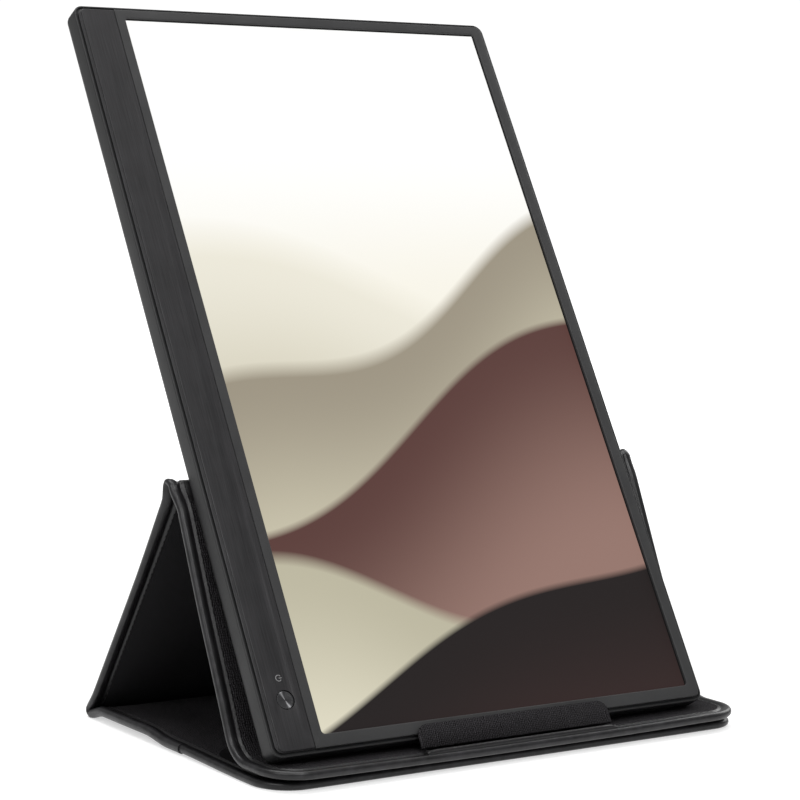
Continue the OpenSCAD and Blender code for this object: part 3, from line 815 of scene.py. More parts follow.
class FoldPath:
    """Side view of the folded cover's outer face, as a path that flat pieces are bent over.

    A flat piece has its place across the cover, its place along the cover from the ledge's
    front edge, and its height, which is 0 on the outer face and falls into the thickness.
    """

    FINE = 0.25 * MM
    COARSE = 1.2 * MM
    FOLD_ROW, BEND_ROW, PLAIN_ROW = 0.4 * MM, 1.2 * MM, 3 * MM
    BY_FOLD = (0.8 * MM, 1.6 * MM, 2.4 * MM, 3.4 * MM)

    def __init__(self, sizes: CoverSizes) -> None:
        """Lay out the path through the folds that the frame's joints give."""
        self.sizes = sizes
        self.ledge = joint_place("ledge_fold").yz
        self.apex = joint_place("strut_fold").yz
        self.rear = joint_place("bottom_fold").yz
        self.points: list[Vector] = []
        self.lengths: list[float] = []
        self.stations: dict[Station, float] = {}
        self._trace()
        self._measure()

    def _trace(self) -> None:
        """Trace lines and arcs, and mark where each arc starts and ends."""
        s = self.sizes
        half = s.edge_t / 2
        up = (self.apex - self.ledge).normalized()
        down = (self.rear - self.apex).normalized()
        support_out, strut_out = Vector((-up.y, up.x)), Vector((-down.y, down.x))
        self.strut_way = strut_out
        ledge_line = (Vector((s.front, self.ledge.y + half)), Vector((1, 0)))
        support_line = (self.ledge + support_out * half, up)
        strut_top = (self.apex + strut_out * (half + s.strut_out_top), down)
        strut_foot = (self.apex + strut_out * (half + s.strut_out_foot + s.rear_bulge), down)
        base_line = (Vector((s.base_front, 0)), Vector((-1, 0)))
        bend = self._arc(ledge_line, support_line, s.ledge_bend, -1)
        apex = self._arc(support_line, strut_top, s.apex_r, 1)
        rear = self._arc(strut_foot, base_line, s.rear_r, 1)
        bowed = [p + strut_out * self._strut_swell(t, (rear[0] - apex[-1]).length)
                 for p, t in self._line(apex[-1], rear[0])]
        base = [p for p, _ in self._line(rear[-1], base_line[0])]
        runs = [[ledge_line[0]] + [p for p, _ in self._line(ledge_line[0], bend[0])], bend,
                [p for p, _ in self._line(bend[-1], apex[0])], apex, bowed, rear,
                base + [base_line[0]]]
        marks = []
        for run in runs:
            self.points += run
            marks.append(len(self.points) - 1)
        self._marks = [0, marks[0] + 1, marks[1], marks[2] + 1, marks[3], marks[4] + 1, marks[5],
                       len(self.points) - 1]

    def _strut_swell(self, t: float, length: float) -> float:
        """How far the strut stands out from the straight line between its folds.

        Args:
            t: Share of the way down the strut.
            length: Length of the strut.

        Returns:
            The distance, less than 0 where the strut falls back behind the bulging rear fold.
        """
        s = self.sizes
        free = blend_step(0, s.bulge_reach, (1 - t) * length)
        return -s.rear_bulge * t * free

    def _arc(self, first: tuple[Vector, Vector], second: tuple[Vector, Vector], radius: float,
             side: int) -> list[Vector]:
        """Arc of a fold between two lines of the outer face.

        Args:
            first: Point and direction of the line before the fold.
            second: Point and direction of the line after it.
            radius: Radius of the outer face.
            side: 1 where the outer face is outside the fold, -1 where it is inside.

        Returns:
            Points along the arc.
        """
        (p, a), (q, b) = first, second
        cross = a.x * b.y - a.y * b.x
        t = ((q.x - p.x) * b.y - (q.y - p.y) * b.x) / cross
        corner = p + a * t
        turn = math.acos(max(-1.0, min(1.0, a.dot(b))))
        start = corner - a * radius * math.tan(turn / 2)
        inner = Vector((a.y, -a.x)) * side
        centre = start + inner * radius
        steps = math.ceil(turn * radius / self.FINE)
        points = []
        for i in range(steps + 1):
            angle = -side * turn * i / steps
            arm = start - centre
            points.append(centre + Vector((arm.x * math.cos(angle) - arm.y * math.sin(angle),
                                           arm.x * math.sin(angle) + arm.y * math.cos(angle))))
        return points

    def _line(self, start: Vector, end: Vector) -> list[tuple[Vector, float]]:
        """Points between two ends, both left out, with their share of the way."""
        count = max(2, math.ceil((end - start).length / self.COARSE))
        return [(start.lerp(end, i / count), i / count) for i in range(1, count)]

    def _measure(self) -> None:
        """Work out lengths, normals and the marked stations."""
        self.lengths = [0.0]
        for a, b in zip(self.points, self.points[1:]):
            self.lengths.append(self.lengths[-1] + (b - a).length)
        self.normals = []
        for i in range(len(self.points)):
            a, b = self.points[max(i - 1, 0)], self.points[min(i + 1, len(self.points) - 1)]
            t = (b - a).normalized()
            self.normals.append(Vector((-t.y, t.x)))
        self.stations = {station: self.lengths[mark] for station, mark in zip(Station, self._marks)}
        self.folds = [(self.at(Station.APEX_START), self.at(Station.APEX_END)),
                      (self.at(Station.REAR_START), self.at(Station.REAR_END))]

    def at(self, station: Station, plus: float = 0.0) -> float:
        """Place along the cover of a station, and a distance past it."""
        return self.stations[station] + plus

    @property
    def mid_strut(self) -> float:
        """Place along the cover half-way down the strut."""
        return (self.at(Station.APEX_END) + self.at(Station.REAR_START)) / 2

    def from_fold(self, s: float) -> float:
        """Distance along the cover to the nearer of the apex fold and the rear fold."""
        return min(max(start - s, s - end, 0) for start, end in self.folds)

    def across(self, x: float, s: float) -> float:
        """Place across after the cover's slight skew, with the bottom's tighter right corner."""
        z = self.sizes
        from_front = max(self.at(Station.BASE_FRONT) - s, 0.0)
        if x > 0 and from_front < z.corner_r:
            share = blend_step(z.half_w - z.base_corner_reach, z.half_w - z.corner_r, x)
            x *= 1 + share * (corner_half(z.half_w, z.base_corner_r, from_front)
                              / corner_half(z.half_w, z.corner_r, from_front) - 1)
        rise = blend_step(self.at(Station.BEND_END), self.at(Station.BEND_END, z.skew_rise), s)
        fall = blend_step(self.at(Station.REAR_END), self.at(Station.REAR_END, z.skew_fall), s)
        return x - z.skew * rise * (1 - fall)

    def droop(self, x: float, s: float) -> Vector:
        """How far the apex fold's ends lean to the rear, and the strut's edges stand out."""
        z = self.sizes
        start, end = self.folds[0]
        near, run, side = max(start - s, s - end, 0), s - start, abs(x) / z.half_w
        lean = blend_step(*z.droop_at, side) * (1.0 if x < 0 else z.droop_right)
        stand = blend_step(0, z.stand_run[0], run) * (1 - blend_step(*z.stand_run, run))
        stand *= blend_step(*z.stand_at, side)
        return (Vector(z.apex_droop) * (1 - blend_step(0, z.droop_reach, near)) * lean
                + self.strut_way * (z.strut_edge_out * stand))

    def lift(self, x: float, s: float) -> float:
        """Height of the bottom's wavy sides over the ground, most behind its tape's join."""
        z = self.sizes
        run = (s - self.at(Station.REAR_END)) / MM
        rise = sum(height * blend_step(start, end, run) for height, start, end in z.base_waves)
        return rise * MM * (z.wave_at_middle + (1 - z.wave_at_middle) * (x / z.half_w) ** 2)

    def squeeze(self, s: float) -> float:
        """Share of the thickness that the cover has at a place along it."""
        low = self.sizes.fold_squeeze
        return low + (1 - low) * blend_step(*self.sizes.squeeze_at, self.from_fold(s))

    def ease(self, x: float, s: float) -> float:
        """Small unevenness of the outer face, and the ledge's sag in its middle, as a height."""
        z = self.sizes
        soft = noise.noise(Vector((x * 22, s * 30, 0.5))) * z.unevenness - z.unevenness
        along = 1 - blend_step(self.at(Station.BEND_START), self.at(Station.BEND_END), s)
        sag = z.front_sag[0] + z.front_sag[1] * (x / z.half_w) ** 2
        return soft + sag * along * (1 - blend_step(0, self.at(Station.BEND_START), s) * 0.4)

    def place(self, flat: Sequence[float]) -> Vector:
        """Bend one flat point over the path.

        Args:
            flat: Place across, place along and height.

        Returns:
            The point in the frame.
        """
        x, s, height = flat
        last = len(self.points) - 1
        i = min(max(bisect_right(self.lengths, s) - 1, 0), last - 1)
        span = self.lengths[i + 1] - self.lengths[i]
        t = (s - self.lengths[i]) / span if span > 0 else 0.0
        point = self.points[i].lerp(self.points[i + 1], t)
        normal = self.normals[i].lerp(self.normals[i + 1], min(max(t, 0.0), 1.0)).normalized()
        out = point + normal * (height * self.squeeze(s) + self.ease(x, s))
        droop = self.droop(x, s)
        return Vector((self.across(x, s), out.x + droop.x, out.y + droop.y + self.lift(x, s)))

    def bend(self, mesh: bpy.types.Mesh) -> None:
        """Bend a flat mesh over the path, and keep its flat coordinates and its nearness to the edge on it,
        which lightens the leather as scuffing and painted highlight.
        """
        half, width = self.sizes.half_w, self.sizes.edge_t
        wear_and_sheen = mesh.attributes.new(WEAR_AND_SHEEN, "FLOAT", "POINT")
        flat = [v.co.copy() for v in mesh.vertices]
        for i, co in enumerate(flat):
            from_side = half - abs(co.x)
            from_front = min(co.y, self.at(Station.BASE_FRONT) - co.y)
            wear_and_sheen.data[i].value = 1 - blend_step(0.2 * width, 0.75 * width, min(from_side, from_front))
        map_sheet(mesh, lambda co: co.xy)
        for vertex, co in zip(mesh.vertices, flat):
            vertex.co = self.place(co)
        outward(mesh)
        smooth(mesh)

    def rows(self, start: float, end: float) -> list[float]:
        """Places along the cover for the rows of a mesh, closer together in the folds."""
        edges = sorted({start, end, *(v for v in self.stations.values() if start < v < end)})
        rows = [start]
        for a, b in zip(edges, edges[1:]):
            mid = (a + b) / 2
            if self.from_fold(mid) == 0:
                step = self.FOLD_ROW
            elif self.at(Station.BEND_START) <= mid <= self.at(Station.BEND_END):
                step = self.BEND_ROW
            else:
                step = self.PLAIN_ROW
            rows += spread(a, b, step)[1:]
        extra = [f + side * d for f0, f1 in self.folds for f, side in ((f0, -1), (f1, 1))
                 for d in self.BY_FOLD]
        rows += [e for e in extra if start < e < end]
        return sorted(rows)

    @staticmethod
    def crease(first: str, second: str, pivot: Vector, to_first: Vector, to_second: Vector,
               reach: float) -> Crease:
        """Crease round a pivot, over which the sheet turns within a reach to each side."""
        return Crease(first, second, Vector((0, *(pivot + to_first * reach))),
                      Vector((0, *(pivot + to_second * reach))))


@dataclass(frozen=True)
class Stack:
    """Upper and lower height of one layer of the cover."""

    top: float
    low: float


class Cover:
    """The folding cover: boards, faces, bound edges, folds, stitches and the lip."""

    LAP = 0.1 * MM
    COLUMNS = [i / 20 - 1 for i in range(41)]
    BOARD_END = 4 * MM
    TAPE_CUT = -14 * MM
    TAPE_JOIN = -77.2 * MM
    PATCH_LEN, PATCH_R, PATCH_LAP = 64.5 * MM, 16 * MM, 0.6 * MM
    SEAT_GAP, SEAT_DEPTH = 0.1 * MM, 4 * MM
    WAX_THREAD_R = 0.2 * MM
    STITCH_PITCH = 3.1 * MM
    STITCH_LEN = 2.5 * MM
    STITCH_IN = 5.95 * MM
    STITCH_TOP = -0.16 * MM

    def __init__(self, bench: Bench) -> None:
        """Read the sizes and lay out the path."""
        self.bench = bench
        self.sizes = CoverSizes()
        self.path = FoldPath(self.sizes)
        p = self.path
        up = (p.apex - p.ledge).normalized()
        down = (p.rear - p.apex).normalized()
        forward = Vector((-1, 0))
        self.ledge_crease = p.crease("support", "ledge", p.ledge, up, forward, self.sizes.ledge_reach)
        self.apex_crease = p.crease("support", "strut", p.apex, -up, down, self.sizes.turn_reach)
        self.rear_crease = p.crease("strut", "bottom", p.rear, -down, forward, self.sizes.turn_reach)
        self.sweeps = Sweeps()

    # -- flat shapes --

    def half_width(self, s: float, inset: float) -> float:
        """Half the width of the cover's outline at a place along it, a distance inside its edge."""
        z = self.sizes
        from_front = min(s, self.path.at(Station.BASE_FRONT) - s)
        return corner_half(z.half_w - inset, z.corner_r - inset, from_front - inset)

    def outline_rows(self, start: float, end: float, inset: float) -> list[float]:
        """Rows between two places, with rows that follow the round front corners."""
        rows = set(self.path.rows(start, end))
        last = self.path.at(Station.BASE_FRONT)
        r = self.sizes.corner_r
        for a in turns(0, 90, 12):
            drop = r - (r - inset) * math.cos(a)
            rows |= {s for s in (drop, last - drop) if start < s < end}
        return sorted(rows)

    def layer(self, name: str, start: float, end: float, stack: Stack, inset: float) -> bpy.types.Object:
        """Make one layer of the cover, flat and then folded.

        Args:
            name: Name of the piece.
            start: Where it starts along the cover.
            end: Where it ends.
            stack: Its upper and lower height.
            inset: Distance of its sides from the cover's edge.

        Returns:
            The folded layer, a closed thin solid.
        """
        outline = [(self.half_width(s, inset), s) for s in self.outline_rows(start, end, inset)]
        return self.grid(name, outline, stack)

    def grid(self, name: str, outline: Sequence[tuple[float, float]], stack: Stack) -> bpy.types.Object:
        """Make a flat slab from its half outline, and fold it.

        Args:
            name: Name of the piece.
            outline: Half width and place along the cover of each row.
            stack: Upper and lower height.

        Returns:
            The folded slab, closed all round.
        """
        width, count = len(self.COLUMNS), len(outline)
        points = [(half * c, s, height) for height in (stack.top, stack.low)
                  for half, s in outline for c in self.COLUMNS]
        low = count * width
        faces: list[Face] = []
        for i in range(count - 1):
            for j in range(width - 1):
                a = i * width + j
                faces.append((a, a + 1, a + width + 1, a + width))
                faces.append((low + a, low + a + width, low + a + width + 1, low + a + 1))
        rim = list(range(width)) + [i * width + width - 1 for i in range(1, count)]
        rim += [(count - 1) * width + j for j in reversed(range(width - 1))]
        rim += [i * width for i in reversed(range(1, count - 1))]
        faces += [(a, low + a, low + b, b) for a, b in zip(rim, rim[1:] + rim[:1])]
        return self.fold(name, mesh_of(name, points, faces))

    def fold(self, name: str, mesh: bpy.types.Mesh) -> bpy.types.Object:
        """Fold a flat mesh over the path and show it."""
        self.path.bend(mesh)
        return shown(name, mesh)

    def edge_line(self, start: float, end: float, inset: float) -> list[Flat]:
        """Flat line along the cover's edge: up one side, round the front, down the other.

        Args:
            start: Place along the cover of the line's ends, or of its front if that is nearer.
            end: The other place.
            inset: Distance of the line from the edge.

        Returns:
            Points of the line.
        """
        last = self.path.at(Station.BASE_FRONT)
        r, half = self.sizes.corner_r, self.sizes.half_w
        at_ledge = start <= 0
        sides = self.path.rows(r, end) if at_ledge else self.path.rows(start, last - r)
        sides = list(reversed(sides)) if at_ledge else sides
        sign = -1 if at_ledge else 1
        centre = r if at_ledge else last - r
        left = [(-(half - inset), s, 0.0) for s in sides]
        corner = [(-(half - r) - (r - inset) * math.cos(a), centre + sign * (r - inset) * math.sin(a), 0.0)
                  for a in turns(0, 90, 14)[1:]]
        front = centre + sign * (r - inset)
        middle = [(x, front, 0.0) for x in spread(-(half - r), half - r, 6 * MM)[1:-1]]
        whole = left + corner + middle
        whole += [(-x, s, h) for x, s, h in reversed(left + corner)]
        return whole if at_ledge else [(-x, s, h) for x, s, h in whole]

    def side_line(self, side: int, start: float, end: float, inset: float) -> list[Flat]:
        """Flat line along one side of the cover, away from its front corners."""
        rows = self.path.rows(start, end)
        line = [(side * (self.sizes.half_w - inset), s, 0.0) for s in rows]
        return line if side > 0 else list(reversed(line))

    def tape_section(self) -> list[tuple[float, float]]:
        """Section of the edge tape: folded round the board, with a full roll at the edge.

        Returns:
            Points (distance from the edge, height), round the section.
        """
        z = self.sizes
        r = z.edge_t / 2
        outer = [(z.edge_w - u * MM, h * MM) for u, h in ((0, -0.45), (0.1, -0.24), (0.35, -0.14))]
        outer += [(u * MM, h * MM) for u, h in (
            (5.9, -0.14), (5.6, -0.26), (5.35, -0.5), (5.05, -0.72), (4.6, -0.8), (4.2, -0.72), (3.8, -0.5),
            (3.4, -0.15), (2.8, 0.05))]
        nose = [(r - r * math.cos(a), -r + (r + 0.06 * MM) * math.sin(a)) for a in turns(80, -80, 12)]
        inner = [(u, -z.edge_t - v) for u, v in reversed(outer)]
        core_top, core_low = -0.98 * MM, -z.edge_t + 0.98 * MM
        core = [(z.edge_w, core_low - 0.02 * MM), (r + 0.3 * MM, core_low), (r, -r - 0.4 * MM),
                (r, -r + 0.4 * MM), (r + 0.3 * MM, core_top), (z.edge_w, core_top + 0.02 * MM)]
        return outer + nose + inner + core

    def overlap_section(self) -> list[tuple[float, float]]:
        """Section of the tape's overlapping end: a second layer over the roll."""
        r, extra, deep = self.sizes.edge_t / 2, 0.5 * MM, 0.5 * MM
        outside, inside = ([(r - arm * math.cos(a), -r + arm * math.sin(a)) for a in turns(100, -100, 16)]
                           for arm in (r + extra, r - deep))
        reach, top = 3.6 * MM, 0.05 * MM
        return [(reach, top), *outside, (reach, -2 * r - top), (reach, -2 * r + deep), *reversed(inside),
                (reach, -deep)]

    # -- pieces --

    def build(self) -> None:
        """Make every piece of the cover."""
        self.build_boards()
        self.build_faces()
        self.build_tapes()
        self.build_stitches()
        Lip(self).build()

    def build_boards(self) -> None:
        """Stiff boards, bent as the panels are, with round seats for the magnets."""
        p, z = self.path, self.sizes
        stack = Stack(-1.05 * MM, -z.edge_t + 1.05 * MM)
        inset, end = z.edge_t / 2 + 0.1 * MM, self.BOARD_END
        for body, start, stop in (
                ("ledge", inset, p.at(Station.BEND_START)),
                ("support", p.at(Station.BEND_END), p.at(Station.APEX_START, -end)),
                ("strut", p.at(Station.APEX_END, end), p.at(Station.REAR_START, -end)),
                ("bottom", p.at(Station.REAR_END, end), p.at(Station.BASE_FRONT, -inset))):
            board = self.layer(f"{body}_stiffener", start, stop, stack, inset)
            if body in ("ledge", "bottom"):
                self.cut_magnet_seats(board, f"{body}_magnets")
            self.bench.fit(board, Finish.BOARD, body, [f"{body}_board"])

    def cut_magnet_seats(self, board: bpy.types.Object, node: str) -> None:
        """Cut a round seat in a board for each magnet of a row.

        Args:
            board: The board.
            node: The frame's node that holds the row of magnets.
        """
        low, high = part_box(node)
        radius = (high.y - low.y) / 2
        rows: list[list[float]] = []
        for x in sorted(v.co.x for v in frame["nodes"][node].data.vertices):
            if rows and x - rows[-1][-1] < radius:
                rows[-1].append(x)
            else:
                rows.append([x])
        places = [((row[0] + row[-1]) / 2, (low.y + high.y) / 2, (low.z + high.z) / 2) for row in rows]
        cut(board, pegs(places, radius + self.SEAT_GAP, high.z - low.z + self.SEAT_DEPTH, 48))

    def build_faces(self) -> None:
        """Cloth and leather faces, each one sheet over the fold that it crosses."""
        p, z = self.path, self.sizes
        cloth_top = -z.cloth_step
        board_top, board_low = -(z.edge_t - z.board_t) / 2, -(z.edge_t + z.board_t) / 2
        inner_face = -z.edge_t + z.cloth_step
        inset = z.edge_w - self.LAP
        outer = Stack(cloth_top, board_top)
        raised = Stack(-0.06 * MM, board_top)
        inner = Stack(board_low, inner_face)
        strip = p.at(Station.APEX_START, -z.strip_w)
        last = p.at(Station.BASE_FRONT)
        mid = p.mid_strut

        def face(name: str, start: float, end: float, stack: Stack, finish: Finish,
                 body: "str | Crease", nodes: Sequence[str]) -> None:
            piece = self.bench.fit(self.layer(name, start, end, stack, inset), finish, body, nodes)
            rows = self.outline_rows(start, end, inset)
            [(self.half_width(s, inset), s) for s in rows]

        face("front_cloth", inset, strip, outer, Finish.WEAVE, self.ledge_crease,
             ["support_fabric", "ledge_fabric", "ledge_fold"])
        face("apex_leather", strip, mid, raised, Finish.LEATHER, self.apex_crease,
             ["apex_strip", "apex_fold"])
        face("base_leather", mid, last - inset, raised, Finish.LEATHER, self.rear_crease,
             ["strut_skin", "rear_fold", "bottom_skin"])
        lining_start = p.at(Station.BEND_END, 2 * MM)
        face("ledge_underside", inset, lining_start, inner, Finish.LEATHER, self.ledge_crease, ["ledge_skin"])
        face("support_back_cloth", lining_start, mid, inner, Finish.TWILL, self.apex_crease,
             ["support_lining"])
        face("strut_inner_cloth", mid, p.at(Station.REAR_END, 5 * MM), inner, Finish.TWILL,
             self.rear_crease, ["strut_lining"])
        face("bottom_cloth", p.at(Station.REAR_END, 5 * MM), last - inset, inner, Finish.WEAVE, "bottom",
             ["bottom_fabric"])
        self.build_magnet_cover()

    def build_magnet_cover(self) -> None:
        """Smooth leather patch sewn over the bottom's magnets, with round rear corners."""
        z, last = self.sizes, self.path.at(Station.BASE_FRONT)
        start, inset, r = last - self.PATCH_LEN, z.edge_w - self.PATCH_LAP, self.PATCH_R
        stack = Stack(-z.edge_t + z.cloth_step + 0.1 * MM, -z.edge_t - 0.12 * MM)
        outline = [(z.half_w - inset - r + r * math.sin(a), start + r - r * math.cos(a))
                   for a in turns(0, 90, 12)]
        outline += [(self.half_width(s, inset), s)
                    for s in self.outline_rows(start + r + 1 * MM, last - inset, inset)]
        patch = self.bench.fit(self.grid("magnet_cover", outline, stack), Finish.LEATHER, "bottom")

    def build_tapes(self) -> None:
        """Bound edges: one tape round the ledge, one round the bottom, one over each apex end."""
        p, section = self.path, self.tape_section()
        cut_at, mid = p.at(Station.APEX_START, self.TAPE_CUT), p.mid_strut
        join = self.side_line(-1, p.at(Station.REAR_END, 1 * MM), p.at(Station.BASE_FRONT, self.TAPE_JOIN), 0)
        for name, line, shape, body, nodes in (
                ("ledge_edge_tape", self.edge_line(0, cut_at, 0), section, self.ledge_crease,
                 ["support_binding", "ledge_binding"]),
                ("apex_edge_tape_left", self.side_line(-1, cut_at, mid, 0), section, self.apex_crease,
                 ["strut_binding"]),
                ("apex_edge_tape_right", self.side_line(1, cut_at, mid, 0), section, self.apex_crease, []),
                ("bottom_edge_tape", self.edge_line(mid, p.at(Station.BASE_FRONT), 0), section,
                 self.rear_crease, ["bottom_binding"]),
                ("tape_overlap", join, self.overlap_section(), self.rear_crease, [])):
            self.bench.fit(self.fold(name, self.sweeps.tape(line, shape)), Finish.LEATHER, body, nodes)

    def build_stitches(self) -> None:
        """Rows of stitches in the groove of each bound edge, on both faces."""
        p = self.path
        cut_at, mid = p.at(Station.APEX_START, self.TAPE_CUT), p.mid_strut
        runs = [("ledge_edge_stitches", [self.edge_line(0, cut_at, self.STITCH_IN)], self.ledge_crease),
                ("apex_edge_stitches", [self.side_line(side, cut_at, mid, self.STITCH_IN)
                                        for side in (-1, 1)], self.apex_crease),
                ("bottom_edge_stitches", [self.edge_line(mid, p.at(Station.BASE_FRONT), self.STITCH_IN)],
                 self.rear_crease)]
        for name, lines, body in runs:
            both = [[(x, s, h) for x, s, _ in line] for line in lines
                    for h in (self.STITCH_TOP, -self.sizes.edge_t - self.STITCH_TOP)]
            mesh = self.sweeps.stitches(both, self.STITCH_PITCH, self.STITCH_LEN, self.WAX_THREAD_R)
            self.bench.fit(self.fold(name, mesh), Finish.LEATHER, body, material=self.bench.thread)


class GeometryTree(Wiring):
    """A Geometry Nodes tree with named inputs, which ends in real geometry with a material."""

    def __init__(self, name: str, **inputs: str) -> None:
        """Start a tree.

        Args:
            name: Name of the tree.
            inputs: Kind of socket of each input, by its name.
        """
        self.tree = bpy.data.node_groups.new(name, "GeometryNodeTree")
        sockets = self.tree.interface
        sockets.new_socket(name="Geometry", in_out="INPUT", socket_type="NodeSocketGeometry")
        self.names = {
            label: sockets.new_socket(name=label, in_out="INPUT", socket_type=f"NodeSocket{kind}").identifier
            for label, kind in inputs.items()}
        sockets.new_socket(name="Geometry", in_out="OUTPUT", socket_type="NodeSocketGeometry")
        self.given = self.new("NodeGroupInput").outputs

    def shape_of(self, name: str) -> bpy.types.NodeSocket:
        """Geometry of the object that an input holds."""
        return self.fill(self.new("GeometryNodeObjectInfo"), Object=self.given[name]).outputs["Geometry"]

    def close(self, shape: bpy.types.NodeSocket) -> "GeometryTree":
        """End the tree in Realize Instances and Set Material."""
        real = self.fill(self.new("GeometryNodeRealizeInstances"), Geometry=shape)
        paint = self.fill(self.new("GeometryNodeSetMaterial"), Geometry=real.outputs["Geometry"],
                          Material=self.given["Material"])
        self.fill(self.new("NodeGroupOutput"), Geometry=paint.outputs["Geometry"])
        return self


class Sweeps:
    """Sweeps a section along a line and sets stitches along lines, with Geometry Nodes."""

    SEED = 7
    ASKEW = math.radians(5)

    def __init__(self) -> None:
        """Build both trees."""
        self.filler = bpy.data.materials.new("unfinished")
        self.tape_tree = self._tape_tree()
        self.stitch_tree = self._stitch_tree()

    @staticmethod
    def _tape_tree() -> GeometryTree:
        """Tree that sweeps the section curve along the line curve."""
        g = GeometryTree("edge_tape", Line="Object", Section="Object", Material="Material")
        upright = g.fill(g.new("GeometryNodeSetCurveNormal", mode="Z_UP"), Curve=g.shape_of("Line"))
        sweep = g.fill(g.new("GeometryNodeCurveToMesh"), Curve=upright.outputs["Curve"],
                       Profile_Curve=g.shape_of("Section"), Fill_Caps=True)
        return g.close(sweep.outputs["Mesh"])

    @staticmethod
    def _stitch_tree() -> GeometryTree:
        """Tree that lays stitches end to end along the line curves, each a little askew."""
        g = GeometryTree("stitch_row", Line="Object", Pitch="Float", Length="Float", Radius="Float",
                         Askew="Float", Seed="Int", Material="Material")
        spots = g.fill(g.new("GeometryNodeResampleCurve", mode="LENGTH"), Curve=g.shape_of("Line"),
                       Length=g.given["Pitch"])
        ball = g.fill(g.new("GeometryNodeMeshUVSphere"), Segments=8, Rings=6, Radius=1.0)
        size = g.fill(g.new("ShaderNodeCombineXYZ"), X=g.sum("MULTIPLY", g.given["Length"], 0.5),
                      Y=g.given["Radius"], Z=g.given["Radius"])
        stitch = g.fill(g.new("GeometryNodeTransform"), Geometry=ball.outputs["Mesh"], Scale=size.outputs[0])
        align = g.fill(g.new("FunctionNodeAlignRotationToVector", axis="X"),
                       Vector=g.new("GeometryNodeInputTangent").outputs[0])
        jitter = g.fill(g.new("FunctionNodeRandomValue", data_type="FLOAT"), Seed=g.given["Seed"])
        limits = [s for s in jitter.inputs if s.type == "VALUE" and s.enabled]
        g.feed(limits[0], g.sum("MULTIPLY", g.given["Askew"], -1.0))
        g.feed(limits[1], g.given["Askew"])
        stray = next(s for s in jitter.outputs if s.type == "VALUE" and s.enabled)
        angles = g.fill(g.new("ShaderNodeCombineXYZ"), Z=stray)
        askew = g.new("FunctionNodeEulerToRotation")
        g.feed(askew.inputs[0], angles.outputs[0])
        turn = g.new("FunctionNodeRotateRotation", rotation_space="LOCAL")
        g.feed(turn.inputs[0], align.outputs[0])
        g.feed(turn.inputs[1], askew.outputs[0])
        row = g.fill(g.new("GeometryNodeInstanceOnPoints"), Points=spots.outputs["Curve"],
                     Instance=stitch.outputs["Geometry"], Rotation=turn.outputs[0])
        return g.close(row.outputs["Instances"])

    @staticmethod
    def _curve(name: str, lines: Sequence[Sequence[Sequence[float]]],
               closed: bool = False) -> bpy.types.Object:
        """Curve object with one straight-sided spline for each line."""
        curve = bpy.data.curves.new(name, "CURVE")
        curve.dimensions = "3D"
        for line in lines:
            spline = curve.splines.new("POLY")
            spline.points.add(len(line) - 1)
            for point, co in zip(spline.points, line):
                point.co = (*co, 1) if len(co) == 3 else (*co, 0, 1)
            spline.use_cyclic_u = closed
        return shown(name, curve)

    @staticmethod
    def _grow(made: GeometryTree, **values: object) -> bpy.types.Mesh:
        """Run a tree on an empty mesh and keep the result as a plain mesh.

        Args:
            made: The tree.
            values: Value of each input, by its name. Objects among them are removed afterwards.

        Returns:
            The mesh.
        """
        host = shown("host", bpy.data.meshes.new("host"))
        step = host.modifiers.new("grow", "NODES")
        step.node_group = made.tree
        for label, value in values.items():
            step[made.names[label]] = value
        graph = bpy.context.evaluated_depsgraph_get()
        graph.update()
        mesh = bpy.data.meshes.new_from_object(host.evaluated_get(graph))
        host.modifiers.clear()
        for item in (host, *(v for v in values.values() if isinstance(v, bpy.types.Object))):
            bpy.data.objects.remove(item)
        mesh.materials.clear()
        return mesh

    def tape(self, line: Sequence[Flat], section: Sequence[tuple[float, float]]) -> bpy.types.Mesh:
        """Flat tape along a line.

        Args:
            line: Points of the cover's edge, with the cover on the left of the way along it.
            section: Section of the tape (distance from the edge, height).

        Returns:
            Mesh of the tape, before it is folded.
        """
        shape = self._curve("section", [[(-u, -h) for u, h in section]], closed=True)
        return self._grow(self.tape_tree, Line=self._curve("line", [line]), Section=shape,
                          Material=self.filler)

    def stitches(self, lines: Sequence[Sequence[Flat]], pitch: float, length: float,
                 radius: float) -> bpy.types.Mesh:
        """Flat rows of stitches along lines."""
        return self._grow(self.stitch_tree, Line=self._curve("line", lines), Pitch=pitch, Length=length,
                          Radius=radius, Askew=self.ASKEW, Seed=self.SEED, Material=self.filler)


